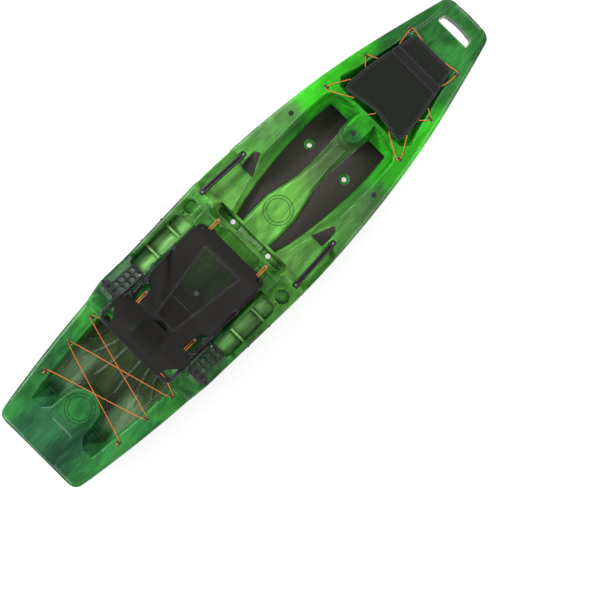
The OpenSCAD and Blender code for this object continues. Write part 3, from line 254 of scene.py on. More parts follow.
def makeMottle():
    tree, given = newTree("mottle", "ShaderNodeTree",
                          [("Vector", "Vector", None), ("Scale", "Float", 2.4), ("Swirl", "Float", 0.3)],
                          [("Broad", "Float"), ("Fine", "Float")])
    warp = noise(tree, "warp", Vector=given["Vector"])["Color"]
    moved = scaled(tree, vectorNode(tree, "SUBTRACT", warp, (0.5, 0.5, 0.5)), given["Swirl"])
    moved = vectorNode(tree, "ADD", given["Vector"], moved)
    broad = noise(tree, "broad", Vector=moved, Scale=given["Scale"])
    fine = noise(tree, "fine", Vector=moved, Scale=times(tree, given["Scale"], fineTimes))
    put(tree, "NodeGroupOutput", {"Broad": broad["Fac"], "Fine": fine["Fac"]})
    return tree


def makeGrain():
    tree, given = newTree("grain", "ShaderNodeTree",
                          [("Vector", "Vector", None), ("Size", "Float", 300.0), ("Wear", "Float", 0.35)],
                          [("Height", "Float"), ("Scuff", "Float")])
    fine = noise(tree, "grain", Vector=given["Vector"], Scale=given["Size"])
    rubbed = noise(tree, "rubbed", Vector=given["Vector"])
    low, high = rubbedFrom
    spread = put(tree, "ShaderNodeMapRange", {"Value": rubbed["Fac"], "From Min": low, "From Max": high})
    amount = mathNode(tree, "MULTIPLY", spread.outputs["Result"], given["Wear"], True)
    put(tree, "NodeGroupOutput", {"Height": fine["Fac"], "Scuff": amount})
    return tree


def makeWeave():
    tree, given = newTree("weave", "ShaderNodeTree",
                          [("Vector", "Vector", None), ("Threads", "Float", 500.0), ("Slant", "Float", 0.0)],
                          [("Height", "Float"), ("Gap", "Float")])
    x, y, _ = split(tree, given["Vector"])
    across = plus(tree, x, times(tree, y, given["Slant"]))
    along = minus(tree, y, times(tree, x, given["Slant"]))
    waves = [mathNode(tree, "SINE", times(tree, times(tree, value, given["Threads"]), math.pi))
             for value in (across, along)]
    height = plus(tree, times(tree, times(tree, *waves), 0.5), 0.5)
    ridges = [mathNode(tree, "ABSOLUTE", wave) for wave in waves]
    gap = mathNode(tree, "LESS_THAN", mathNode(tree, "MAXIMUM", *ridges), weaveGap)
    put(tree, "NodeGroupOutput", {"Height": height, "Gap": gap})
    return tree


# 1 inside a box and 0 outside it, with a soft border
def makeZone():
    tree, given = newTree("zone", "ShaderNodeTree",
                          [("Vector", "Vector", None), ("Middle", "Vector", None), ("Half", "Vector", None),
                           ("Soft", "Float", 0.05)], [("Mask", "Float")])
    away = vectorNode(tree, "ABSOLUTE", vectorNode(tree, "SUBTRACT", given["Vector"], given["Middle"]))
    mask = None
    for room in split(tree, vectorNode(tree, "SUBTRACT", given["Half"], away)):
        part = plus(tree, mathNode(tree, "DIVIDE", room, given["Soft"]), 0.5, True)
        mask = part if mask is None else times(tree, mask, part)
    put(tree, "NodeGroupOutput", {"Mask": mask})
    return tree


mottleGroup = makeMottle()
grainGroup = makeGrain()
weaveGroup = makeWeave()
zoneGroup = makeZone()


# Helpers for finishes

def newFinish(name, roughness=0.5, metallic=0.0):
    mat = bpy.data.materials.new(name)
    mat.use_nodes = True
    tree = mat.node_tree
    shader = tree.nodes["Principled BSDF"]
    feed(tree, shader, {"Roughness": roughness, "Metallic": metallic, "Base Color": grey(0.5)})
    return mat, tree, shader


def groupNode(tree, group, vector, **values):
    return put(tree, "ShaderNodeGroup", {"Vector": vector, **values}, node_tree=group).outputs


def objectVector(tree, scale=(1, 1, 1), place=(0, 0, 0), turn=(0, 0, 0)):
    source = put(tree, "ShaderNodeTexCoord").outputs["Object"]
    inputs = {"Vector": source, "Scale": scale, "Location": place, "Rotation": turn}
    return put(tree, "ShaderNodeMapping", inputs).outputs["Vector"]


def uvVector(tree, name):
    return put(tree, "ShaderNodeUVMap", uv_map=name).outputs["UV"]


def attribute(tree, name):
    return put(tree, "ShaderNodeAttribute", attribute_name=name).outputs["Fac"]


def mixColour(tree, factor, first, second):
    made = put(tree, "ShaderNodeMix", {"Factor": factor}, data_type="RGBA")
    spots = [i for i, socket in enumerate(made.inputs) if socket.type == "RGBA"]
    colours = [(*c, 1) if isinstance(c, tuple) else c for c in (first, second)]
    feed(tree, made, dict(zip(spots, colours)))
    return [socket for socket in made.outputs if socket.type == "RGBA"][0]


def ramp(tree, factor, stops):
    made = put(tree, "ShaderNodeValToRGB", {"Fac": factor})
    while len(made.color_ramp.elements) < len(stops):
        made.color_ramp.elements.new(0.5)
    for element, (place, colour) in zip(made.color_ramp.elements, stops):
        element.position = place
        element.color = (*colour, 1)
    return made.outputs["Color"]


def span(tree, value, fromLow, fromHigh, toLow=0.0, toHigh=1.0):
    inputs = {"Value": value, "From Min": fromLow, "From Max": fromHigh, "To Min": toLow, "To Max": toHigh}
    return put(tree, "ShaderNodeMapRange", inputs, interpolation_type="SMOOTHSTEP").outputs["Result"]


def bump(tree, shader, height, strength, distance):
    made = put(tree, "ShaderNodeBump", {"Strength": strength, "Distance": distance, "Height": height})
    feed(tree, shader, {"Normal": made.outputs["Normal"]})


# Colours of the moulding: the ramp runs through the whole hull, and each zone has its own tint; the tray and cup
# holder tints are painted light, and the tankwell floor's is partly painted shade.
# A zone is its middle and half size in x, |y| and z, its soft border, its colour and its share.
# Four numbers in a row are a span: from low, from high, to low, to high.
hullFinish = {
    "greens": [(0.34, (0.010, 0.075, 0.022)), (0.46, (0.018, 0.130, 0.024)),
               (0.55, (0.030, 0.205, 0.026)), (0.68, (0.045, 0.290, 0.028))],
    "zones": [
        ((-1.55, 0.10, 0.25), (0.42, 0.45, 0.30), 0.16, (0.019, 0.128, 0.034), 0.80),
        ((-1.62, 0.00, 0.26), (0.16, 0.20, 0.10), 0.05, (0.018, 0.080, 0.040), 0.75),
        ((0.05, 0.22, 0.16), (0.42, 0.22, 0.17), 0.16, (0.110, 0.350, 0.045), 0.65),
        ((0.10, 0.43, 0.30), (0.60, 0.075, 0.10), 0.05, (0.050, 0.165, 0.030), 0.72),
        ((0.20, 0.00, 0.14), (0.30, 0.13, 0.14), 0.06, (0.150, 0.460, 0.075), 0.90),
        ((0.16, 0.25, 0.20), (0.20, 0.09, 0.08), 0.03, (0.125, 0.330, 0.065), 0.90),
        ((0.42, 0.25, 0.24), (0.30, 0.09, 0.06), 0.05, (0.040, 0.170, 0.028), 0.70),
        ((-0.17, 0.24, 0.30), (0.11, 0.09, 0.13), 0.05, (0.060, 0.240, 0.036), 0.75),
        ((-0.11, 0.06, 0.11), (0.06, 0.19, 0.05), 0.03, (0.110, 0.400, 0.050), 0.80),
        ((-0.024, 0.00, 0.11), (0.018, 0.088, 0.02), 0.006, (0.260, 0.480, 0.190), 0.85),
        ((0.62, 0.00, 0.14), (0.20, 0.10, 0.10), 0.09, (0.130, 0.240, 0.080), 0.80),
        ((0.93, 0.06, 0.24), (0.09, 0.24, 0.12), 0.05, (0.030, 0.400, 0.012), 0.70),
        ((0.98, 0.34, 0.28), (0.30, 0.11, 0.12), 0.09, (0.040, 0.520, 0.016), 0.92),
        ((0.55, 0.38, 0.28), (0.16, 0.10, 0.08), 0.10, (0.085, 0.200, 0.060), 0.70),
        ((1.56, 0.00, 0.28), (0.28, 0.40, 0.30), 0.14, (0.020, 0.125, 0.026), 0.80),
        # the tankwell floor's dark grey-green is partly its own colour and partly painted shade of the deep well
        ((-0.93, 0.00, 0.10), (0.42, 0.29, 0.115), 0.035, (0.041, 0.055, 0.024), 0.90),
        ((-1.27, 0.20, 0.10), (0.13, 0.07, 0.105), 0.05, (0.130, 0.240, 0.110), 0.80),
        # painted light: the tray and cup holder floors are tinted paler to offset the shade in their recesses
        ((-0.41, 0.333, 0.175), (0.222, 0.060, 0.060), 0.007, (0.300, 0.680, 0.200), 0.93),
        ((-0.134, 0.367, 0.150), (0.050, 0.044, 0.088), 0.007, (0.300, 0.800, 0.220), 0.95)],
    "stretch": (0.55, 1.0, 1.2), "turn": 0.35, "scale": 2.5, "swirl": 0.6, "broadAndFine": (0.7, 0.3),
    "drift": 0.14, "shade": (0.38, 0.66, 0.56, 1.42), "streak": (0.35, 0.65, 0.86, 1.16),
    "streakStretch": (0.7, 6.0, 6.0), "streakPlace": (3, 1, 2), "streakScale": 3.0, "streakSwirl": 0.2,
    "cavityShade": (0.52, 0.95, 1.0, 0.68), "shoulderHighlight": (0.47, 0.15, 1.0, 1.18),
    "creaseShade": (0.002, 0.028, 0.008), "hollowShade": (0.55, 0.82, 0.0, 0.88),
    "scuffAndHighlight": (0.26, 0.50, 0.20), "ridgeHighlight": (0.38, 0.06, 0.0, 0.26), "rubbedGrain": 0.10,
    "calmStern": (-0.70, -0.35, 0.25, 1.0), "grainSize": 420, "grainWear": 0.25, "grainHeight": 0.10,
    "rings": [(-1.394, 0.0, 0.0), (0.207, 0.0, 0.0)], "ringRadii": (0.0700, 0.0885), "ringWidth": 0.0042,
    "ringCore": 0.4, "ringShade": 0.50, "ringsAbove": (0.06, 0.08),
    "shine": 0.27, "roughness": (0.3, 0.7, 0.13, 0.22), "bump": (0.9, 0.0022)}


# A line round each medallion's middle, for each radius; the hull finish sinks it in the bump and darkens it with
# painted shade
def ringGrooves(tree, x, y, z):
    look = hullFinish
    flat = joined(tree, x, y)
    grooves = None
    for middle in look["rings"]:
        away = put(tree, "ShaderNodeVectorMath", {0: flat, 1: middle}, operation="DISTANCE").outputs["Value"]
        for radius in look["ringRadii"]:
            off = mathNode(tree, "ABSOLUTE", minus(tree, away, radius))
            line = span(tree, off, look["ringWidth"], look["ringWidth"] * look["ringCore"])
            grooves = line if grooves is None else mathNode(tree, "MAXIMUM", grooves, line)
    return times(tree, grooves, span(tree, z, *look["ringsAbove"]))


def makeHullPlastic():
    mat, tree, shader = newFinish("hullPlastic")
    look = hullFinish
    vector = objectVector(tree, look["stretch"], turn=(0, 0, look["turn"]))
    swirl = groupNode(tree, mottleGroup, vector, Scale=look["scale"], Swirl=look["swirl"])
    broadShare, fineShare = look["broadAndFine"]
    mixed = plus(tree, times(tree, swirl["Broad"], broadShare), times(tree, swirl["Fine"], fineShare))
    colour = ramp(tree, mixed, look["greens"])
    plain = put(tree, "ShaderNodeTexCoord").outputs["Object"]
    x, y, z = split(tree, plain)
    drift = times(tree, minus(tree, swirl["Fine"], 0.5), look["drift"])
    spot = joined(tree, plus(tree, x, drift), mathNode(tree, "ABSOLUTE", y), z)
    for middle, half, soft, tint, share in look["zones"]:
        zone = groupNode(tree, zoneGroup, spot, Middle=middle, Half=half, Soft=soft)
        colour = mixColour(tree, times(tree, zone["Mask"], share), colour, tint)
    streakVector = objectVector(tree, look["streakStretch"], look["streakPlace"])
    streak = groupNode(tree, mottleGroup, streakVector, Scale=look["streakScale"], Swirl=look["streakSwirl"])
    hollow, cavityShade = attribute(tree, "hollow"), attribute(tree, "cavityShade")
    # painted shade and highlight: the cavity attribute darkens broad recesses and lightens the shoulders beside
    # them; the mottle and streak spans are the plastic's own tone
    shades = ((mixed, "shade"), (streak["Fine"], "streak"), (cavityShade, "cavityShade"), (cavityShade, "shoulderHighlight"))
    for value, name in shades:
        colour = scaled(tree, colour, span(tree, value, *look[name]))
    # painted shade: creases and recesses, where the hollow attribute is high, are darkened towards the crease
    # shade colour
    colour = mixColour(tree, span(tree, hollow, *look["hollowShade"]), colour, look["creaseShade"])
    grain = groupNode(tree, grainGroup, plain, Size=look["grainSize"], Wear=look["grainWear"])
    # rubbed is partly painted highlight, where ridges, and pieces without the hollow attribute such as the ribs
    # and studs, turn pale; the grain scuff adds real wear
    ridge = span(tree, hollow, *look["ridgeHighlight"])
    rubbed = plus(tree, ridge, times(tree, grain["Scuff"], look["rubbedGrain"]), True)
    rubbed = times(tree, rubbed, span(tree, x, *look["calmStern"]))
    colour = mixColour(tree, rubbed, colour, look["scuffAndHighlight"])
    grooves = ringGrooves(tree, x, y, z)
    # painted shade in the medallion grooves
    colour = mixColour(tree, times(tree, grooves, look["ringShade"]), colour, look["creaseShade"])
    feed(tree, shader, {"Base Color": colour, "Specular IOR Level": look["shine"],
                        "Roughness": span(tree, swirl["Fine"], *look["roughness"])})
    bump(tree, shader, minus(tree, times(tree, grain["Height"], look["grainHeight"]), grooves), *look["bump"])
    return mat


# Each kind of grain: its stretch, the heights that turn into roughness, the change of roughness, the relief
grainKinds = {"moulded": ((1, 1, 1), (0.2, 0.8), (0.08, 0.10), 0.0006),
              "metal": ((0.4, 6, 6), (0.25, 0.75), (0.07, 0.09), 0.0004)}


def makeGrained(name, kind, colour, worn, roughness, size, wear, strength, metallic=0.0):
    mat, tree, shader = newFinish(name, roughness, metallic)
    stretch, heights, (less, more), relief = grainKinds[kind]
    grain = groupNode(tree, grainGroup, objectVector(tree, stretch), Size=size, Wear=wear)
    rough = span(tree, grain["Height"], *heights, roughness - less, roughness + more)
    feed(tree, shader, {"Base Color": mixColour(tree, grain["Scuff"], colour, worn), "Roughness": rough})
    bump(tree, shader, grain["Height"], strength, relief)
    return mat


clothLook = {"roughness": 0.78, "grainSize": 90, "grainWear": 0.5, "highlightAndWornLift": (1.7, 0.003), "threadHighlight": 0.45,
             "wornShare": 0.4, "shine": 0.22, "sheenRoughness": 0.5, "bump": (0.5, 0.0007), "holes": 0.22,
             "haze": 0.08}


# The see-through part is a trapezoid on the cloth's own map: start and end along it, half width at each
def makeCloth(name, colour, window=None, threads=560, alpha=0.66, sheen=0.02, slant=0.0):
    look = clothLook
    mat, tree, shader = newFinish(name, look["roughness"])
    vector = uvVector(tree, "clothMap")
    weave = groupNode(tree, weaveGroup, vector, Threads=threads, Slant=slant)
    grain = groupNode(tree, grainGroup, objectVector(tree), Size=look["grainSize"], Wear=look["grainWear"])
    factor, lift = look["highlightAndWornLift"]
    highlightAndWorn = tuple(min(1, c * factor + lift) for c in colour)
    # painted highlight: the raised threads of the weave are lightened; the grain scuff below is real wear
    shade = mixColour(tree, times(tree, weave["Height"], look["threadHighlight"]), colour, highlightAndWorn)
    shade = mixColour(tree, times(tree, grain["Scuff"], look["wornShare"]), shade, highlightAndWorn)
    feed(tree, shader, {"Base Color": shade, "Specular IOR Level": look["shine"], "Sheen Weight": sheen,
                        "Sheen Roughness": look["sheenRoughness"]})
    bump(tree, shader, weave["Height"], *look["bump"])
    if window:
        x, y, _ = split(tree, vector)
        start, end, halfStart, halfEnd = window
        reach = mathNode(tree, "DIVIDE", minus(tree, x, start), end - start, True)
        half = plus(tree, times(tree, reach, halfEnd - halfStart), halfStart)
        inside = mathNode(tree, "LESS_THAN", mathNode(tree, "ABSOLUTE", y), half)
        inside = times(tree, inside, mathNode(tree, "GREATER_THAN", x, start))
        inside = times(tree, inside, mathNode(tree, "LESS_THAN", x, end))
        net = plus(tree, times(tree, weave["Gap"], look["holes"]), 1 - alpha - look["haze"])
        feed(tree, shader, {"Alpha": minus(tree, 1.0, times(tree, inside, net))})
    return mat


braidLook = {"strandShadeSpan": (0.2, 0.85), "fleckSpan": (0.55, 0.7, 0, 0.35), "sheen": 0.25, "bump": (0.6, 0.0006)}


def makeBraid(name, colour, strandShadeAndFleck, strands=8, pitch=130, roughness=0.62):
    mat, tree, shader = newFinish(name, roughness)
    around, along, _ = split(tree, uvVector(tree, "cordMap"))
    turned = times(tree, around, 2 * math.pi * strands)
    lengthwise = times(tree, along, 2 * math.pi * pitch)
    waves = [mathNode(tree, "SINE", make(tree, turned, lengthwise)) for make in (plus, minus)]
    height = plus(tree, times(tree, mathNode(tree, "MAXIMUM", *waves), 0.5), 0.5)
    # painted shade: the valleys between the braid's strands take the darker colour, which the random flecks
    # below share as real marks
    shade = mixColour(tree, span(tree, height, *braidLook["strandShadeSpan"]), strandShadeAndFleck, colour)
    fleck = span(tree, noise(tree, "fleck")["Fac"], *braidLook["fleckSpan"])
    feed(tree, shader, {"Base Color": mixColour(tree, fleck, shade, strandShadeAndFleck), "Sheen Weight": braidLook["sheen"]})
    bump(tree, shader, height, *braidLook["bump"])
    return mat


black = (0.0125, 0.011, 0.010)
finishes = {
    "hull": makeHullPlastic(),
    "foam": makeGrained("padFoam", "moulded", (0.029, 0.0245, 0.0185), (0.047, 0.041, 0.034), 0.78, 700, 0.5,
                        0.45),
    "blackPlastic": makeGrained("blackPlastic", "moulded", (0.013, 0.013, 0.014), (0.045, 0.045, 0.047), 0.46,
                                520, 0.3, 0.25),
    "rubber": makeGrained("blackRubber", "moulded", (0.014, 0.014, 0.014), (0.035, 0.035, 0.034), 0.66, 620, 0.4,
                          0.35),
    "orangePlastic": makeGrained("orangePlastic", "moulded", (0.80, 0.17, 0.010), (0.88, 0.36, 0.12), 0.38, 420,
                                 0.35, 0.1),
    "steel": makeGrained("satinSteel", "metal", (0.56, 0.56, 0.57), (0.36, 0.36, 0.37), 0.32, 220, 0.5, 0.08,
                         1.0),
    "tube": makeGrained("anodisedTube", "metal", (0.018, 0.018, 0.020), (0.10, 0.10, 0.11), 0.36, 220, 0.5,
                        0.08, 0.6),
    "panCloth": makeCloth("panCloth", black, (0.056, 0.526, 0.064, 0.125)),
    "backCloth": makeCloth("backCloth", black, (0.160, 0.392, 0.070, 0.112)),
    "sleeveCloth": makeCloth("sleeveCloth", (0.0095, 0.0088, 0.0085)),
    "coverMesh": makeCloth("coverMesh", (0.0068, 0.0085, 0.0058), (0.0, 2.0, 1.0, 1.0), 300, 0.88, 0.02),
    "coverBand": makeCloth("coverBand", (0.010, 0.0088, 0.009), None, 620),
    "webbing": makeCloth("strapWebbing", (0.011, 0.011, 0.012), None, 900, 1.0, 0.3, 0.6),
    "bungee": makeBraid("orangeBungee", (0.86, 0.20, 0.012), (0.42, 0.075, 0.006)),
    "hemCord": makeBraid("blackHemCord", (0.014, 0.014, 0.015), (0.004, 0.004, 0.004), 10, 90, 0.7),
    "thread": makeGrained("greyThread", "moulded", (0.16, 0.17, 0.16), (0.25, 0.26, 0.25), 0.8, 900, 0.3, 0.1)}
print("finishes made:", len(finishes))


# Mesh helpers

def meshObject(name, points, faces, finish, smooth=True):
    mesh = bpy.data.meshes.new(name)
    mesh.from_pydata([tuple(p) for p in points], [], faces)
    mesh.validate()
    mesh.materials.append(finishes[finish])
    if smooth:
        mesh.shade_smooth()
    return addObject(name, mesh)


# Turns modifiers, or a curve with its tree, into a plain mesh
def settle(obj):
    bpy.context.view_layer.update()
    graph = bpy.context.evaluated_depsgraph_get()
    mesh = bpy.data.meshes.new_from_object(obj.evaluated_get(graph), depsgraph=graph)
    mesh.name = obj.name
    if obj.type == "MESH":
        obj.modifiers.clear()
        obj.data = mesh
        return obj
    made = addObject(obj.name, mesh)
    bpy.data.objects.remove(obj)
    made.name = mesh.name
    return made


meshRules = {"mergeWithin": 0.00002, "flatAngle": 0.01, "sharpAngle": 0.75}


def nodeCopy(node, name, finish, dissolve=0.0):
    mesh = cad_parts[node].data.copy()
    mesh.name = name
    work = bmesh.new()
    work.from_mesh(mesh)
    bmesh.ops.remove_doubles(work, verts=work.verts, dist=meshRules["mergeWithin"])
    if dissolve:
        bmesh.ops.dissolve_limit(work, angle_limit=dissolve, verts=work.verts, edges=work.edges)
    work.to_mesh(mesh)
    work.free()
    mesh.materials.clear()
    mesh.materials.append(finishes[finish])
    return addObject(name, mesh)


def addBevel(obj, width, segments):
    mod = obj.modifiers.new("roundedEdges", "BEVEL")
    mod.width = width
    mod.segments = segments
    return mod


def bevelled(node, name, finish, width, segments=2, angle=0.6):
    obj = nodeCopy(node, name, finish, meshRules["flatAngle"])
    mod = addBevel(obj, width, segments)
    mod.limit_method = "ANGLE"
    mod.angle_limit = angle
    mod.use_clamp_overlap = True
    mod.harden_normals = False
    settle(obj)
    obj.data.shade_smooth()
    obj.data.set_sharp_from_angle(angle=meshRules["sharpAngle"])
    return obj


# Moves each point part of the way to the mean of its neighbours
def relax(points, edges, rounds, share=0.5):
    starts = np.concatenate([edges[:, 0], edges[:, 1]])
    ends = np.concatenate([edges[:, 1], edges[:, 0]])
    degree = np.bincount(starts, minlength=len(points)).astype(float)
    degree[degree == 0] = 1
    moved = points.copy()
    for _ in range(rounds):
        mean = np.stack([np.bincount(starts, moved[ends, k], len(points)) / degree for k in range(3)], 1)
        moved += (mean - moved) * share
    return moved


def meshArrays(mesh):
    points = np.zeros(len(mesh.vertices) * 3)
    mesh.vertices.foreach_get("co", points)
    edges = np.zeros(len(mesh.edges) * 2, dtype=int)
    mesh.edges.foreach_get("vertices", edges)
    return points.reshape(-1, 3), edges.reshape(-1, 2)


def finishPiece(obj, body, nodes=()):
    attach(obj, body)
    if nodes:
        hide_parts(*nodes)
    return obj


# Hull: the moulded shell with rounded edges

hullSkin = {
    "voxel": 0.0040, "quickVoxel": 0.009, "softRounds": 6, "fairRounds": 60, "fairLimit": 0.0009,
    "keepRounds": 3,
    "triangles": 196000, "hollowRounds": 7, "hollowDepth": 0.0026, "hollowSoft": 2, "cavityDepth": 0.0060,
    "cavitySoft": 4, "ringReach": 0.098}


# 0.5 on the flat, above it in hollows and below it on ridges; the hull finish paints crease and cavity shade and
# ridge and shoulder highlights from these values
def markHollows(obj, label, points, softer, edges, depth, rounds):
    normals = np.zeros(len(points) * 3)
    obj.data.vertex_normals.foreach_get("vector", normals)
    lift = ((softer - points) * normals.reshape(-1, 3)).sum(1) / depth
    lift = relax(np.repeat(lift[:, None], 3, 1), edges, rounds)[:, 0]
    layer = obj.data.attributes.new(label, "FLOAT", "POINT")
    layer.data.foreach_set("value", np.clip(0.5 + 0.5 * lift, 0, 1).astype(np.float32))


def makeHull():
    obj = nodeCopy("kayak_hull", "hullSkin", "hull")
    mod = obj.modifiers.new("voxels", "REMESH")
    mod.mode = "VOXEL"
    mod.voxel_size = hullSkin["voxel"]
    settle(obj)
    points, edges = meshArrays(obj.data)
    soft = relax(points, edges, hullSkin["softRounds"])
    softer = relax(soft, edges, hullSkin["hollowRounds"])
    fair = relax(softer, edges, hullSkin["fairRounds"])
    gap = np.linalg.norm(fair - soft, axis=1)
    keep = np.clip(gap / hullSkin["fairLimit"], 0, 1)[:, None]
    for x, y, _ in hullFinish["rings"]:
        keep[np.hypot(points[:, 0] - x, points[:, 1] - y) < hullSkin["ringReach"]] = 1
    keep = relax(np.repeat(keep, 3, 1), edges, hullSkin["keepRounds"])[:, :1]
    final = fair * (1 - keep) + soft * keep
    low, high = np.array(cadBox[0]), np.array(cadBox[1])
    obj.data.vertices.foreach_set("co", np.clip(final, low, high).astype(np.float32).ravel())
    obj.data.update()
    markHollows(obj, "hollow", soft, softer, edges, hullSkin["hollowDepth"], hullSkin["hollowSoft"])
    markHollows(obj, "cavityShade", soft, fair, edges, hullSkin["cavityDepth"], hullSkin["cavitySoft"])
    faces = sum(len(p.vertices) - 2 for p in obj.data.polygons)
    if faces > hullSkin["triangles"]:
        mod = obj.modifiers.new("fewerFaces", "DECIMATE")
        mod.ratio = hullSkin["triangles"] / faces
        settle(obj)
    obj.data.shade_smooth()
    finishPiece(obj, "hull", ["kayak_hull"])
    print("hull skin:", faces, "to", len(obj.data.polygons), "faces", [a.name for a in obj.data.attributes])


makeHull()


# Paths and what grows along them

def alongPath(points, step):
    points = [Vector(p) for p in points]
    out = [points[0]]
    for a, b in zip(points, points[1:]):
        n = max(1, int(math.ceil((b - a).length / step)))
        for i in range(1, n + 1):
            out.append(a.lerp(b, i / n))
    return out


def rounded(points, rounds=3, closed=False):
    points = [Vector(p) for p in points]
    for _ in range(rounds):
        made = []
        n = len(points)
        for i in range(n if closed else n - 1):
            a, b = points[i], points[(i + 1) % n]
            made += [a.lerp(b, 0.25), a.lerp(b, 0.75)]
        points = made if closed else [points[0]] + made[1:-1] + [points[-1]]
    return points


def filleted(points, radius, steps=8):
    points = [Vector(p) for p in points]
    out = [points[0]]
    for a, b, c in zip(points, points[1:], points[2:]):
        u, v = (a - b).normalized(), (c - b).normalized()
        half = u.angle(v) / 2
        cut = radius / math.tan(half)
        centre = b + (u + v).normalized() * (radius / math.sin(half))
        start, end = b + u * cut - centre, b + v * cut - centre
        arc = [start.slerp(end, i / steps) * radius for i in range(1, steps)]
        out += [centre + p for p in [start, *arc, end]]
    return out + [points[-1]]


def newPathTree(name, inputs):
    sockets = [("Geometry", "Geometry", None), *inputs, ("Finish", "Material", None)]
    return newTree(name, "GeometryNodeTree", sockets, [("Geometry", "Geometry")])


def paintedEnd(tree, given, geometrySocket):
    inputs = {"Geometry": geometrySocket, "Material": given["Finish"]}
    paint = put(tree, "GeometryNodeSetMaterial", inputs)
    put(tree, "NodeGroupOutput", {"Geometry": paint.outputs["Geometry"]})
    return tree


def captured(tree, curve, label):
    made = put(tree, "GeometryNodeCaptureAttribute")
    made.capture_items.new("FLOAT", label)
    feed(tree, made, {"Geometry": curve, label: put(tree, "GeometryNodeSplineParameter").outputs[label]})
    return made.outputs["Geometry"], made.outputs[label]


# A tube with its own map: once round, and metres along
def makeCordTree():
    tree, given = newPathTree("tubeAlongPath", [("Radius", "Float", 0.0025), ("Sides", "Int", 12)])
    path, along = captured(tree, given["Geometry"], "Length")
    inputs = {"Resolution": given["Sides"], "Radius": given["Radius"]}
    ring = put(tree, "GeometryNodeCurvePrimitiveCircle", inputs)
    profile, around = captured(tree, ring.outputs["Curve"], "Factor")
    tube = put(tree, "GeometryNodeCurveToMesh", {"Curve": path, "Profile Curve": profile, "Fill Caps": True})
    inputs = {"Geometry": tube.outputs["Mesh"], "Name": "cordMap", "Value": joined(tree, around, along)}
    store = put(tree, "GeometryNodeStoreNamedAttribute", inputs, data_type="FLOAT2", domain="CORNER")
    smooth = put(tree, "GeometryNodeSetShadeSmooth", {"Geometry": store.outputs["Geometry"]})
    return paintedEnd(tree, given, smooth.outputs["Geometry"])


def repeatedAlong(tree, given, thing, **placing):
    inputs = {"Curve": given["Geometry"], "Length": given["Spacing"]}
    spaced = put(tree, "GeometryNodeResampleCurve", inputs, mode="LENGTH")
    inputs = {"Points": spaced.outputs["Curve"], "Instance": thing, **placing}
    each = put(tree, "GeometryNodeInstanceOnPoints", inputs)
    real = put(tree, "GeometryNodeRealizeInstances", {0: each.outputs[0]})
    return paintedEnd(tree, given, real.outputs[0])


def makeStitchTree():
    tree, given = newPathTree("stitchesAlongPath", [("Spacing", "Float", 0.007), ("Thread", "Float", 0.0007),
                                                    ("Long", "Float", 0.0045)])
    tangent = put(tree, "GeometryNodeInputTangent").outputs[0]
    turn = put(tree, "FunctionNodeAlignRotationToVector", {"Vector": tangent}, axis="Z").outputs[0]
    inputs = {"Vertices": 6, "Radius": given["Thread"], "Depth": given["Long"]}
    thread = put(tree, "GeometryNodeMeshCylinder", inputs)
    return repeatedAlong(tree, given, thread.outputs["Mesh"], Rotation=turn)


def makeDomeTree():
    tree, given = newPathTree("domesAlongPath", [("Spacing", "Float", None), ("Half", "Vector", None)])
    dome = put(tree, "GeometryNodeMeshUVSphere", {"Segments": 16, "Rings": 8, "Radius": 1.0})
    return repeatedAlong(tree, given, dome.outputs["Mesh"], Scale=given["Half"])


cordTree = makeCordTree()
stitchTree = makeStitchTree()
domeTree = makeDomeTree()


def pathObject(name, paths, closed=False):
    curve = bpy.data.curves.new(name, "CURVE")
    curve.dimensions = "3D"
    curve.twist_mode = "MINIMUM"
    for path in paths:
        spline = curve.splines.new("POLY")
        spline.points.add(len(path) - 1)
        for point, place in zip(spline.points, path):
            point.co = (*place, 1)
        spline.use_cyclic_u = closed
    return addObject(name, curve)


def grownFrom(name, paths, tree, finish, closed=False, **values):
    obj = pathObject(name, paths, closed)
    mod = obj.modifiers.new(name, "NODES")
    mod.node_group = tree
    ids = {s.name: s.identifier for s in tree.interface.items_tree if s.in_out == "INPUT"}
    for key, value in values.items():
        mod[ids[key]] = value
    mod[ids["Finish"]] = finishes[finish]
    return settle(obj)


# Stitches: the step from one to the next, half the thread's width and the length of a stitch
seatStitch = {"Spacing": 0.007, "Thread": 0.0006, "Long": 0.0045}
coverStitch = {"Spacing": 0.008, "Thread": 0.0006, "Long": 0.005}


def sewn(name, seams, body, sizes):
    return finishPiece(grownFrom(name, seams, stitchTree, "thread", **sizes), body)


# Cloth: a flat cut in its own map, placed on a surface

clothCut = {"step": 0.010, "rowShare": 0.866, "rimShare": 0.55, "mergeWithin": 1e-7, "sharpAngle": 1.0}


def insideLoop(points, loop):
    x, y = points[:, 0], points[:, 1]
    inside = np.zeros(len(points), dtype=bool)
    for (ax, ay), (bx, by) in zip(loop, loop[1:] + loop[:1]):
        if ay != by:
            inside ^= ((ay > y) != (by > y)) & (x < (bx - ax) * (y - ay) / (by - ay) + ax)
    return inside


# Inside the first loop and outside the others
def insideCut(points, loops):
    keep = insideLoop(points, loops[0])
    for hole in loops[1:]:
        keep &= ~insideLoop(points, hole)
    return keep


def loopPoints(loop, step):
    return [(p.x, p.y) for p in alongPath([Vector((*p, 0)) for p in [*loop, loop[0]]], step)][:-1]


# Points in staggered rows, clear of the rim
def innerPoints(loops, step):
    rim = np.array([p for loop in loops for p in loop])
    low, high = rim.min(0), rim.max(0)
    grid = []
    row = 0
    y = low[1] + step / 2
    while y < high[1]:
        grid += [(x, y) for x in np.arange(low[0] + (row % 2) * step / 2, high[0], step)]
        y += step * clothCut["rowShare"]
        row += 1
    grid = np.array(grid)
    grid = grid[insideCut(grid, loops)]
    clear = np.array([np.min(np.hypot(*(rim - g).T)) for g in grid])
    return [tuple(g) for g in grid[clear > step * clothCut["rimShare"]]]


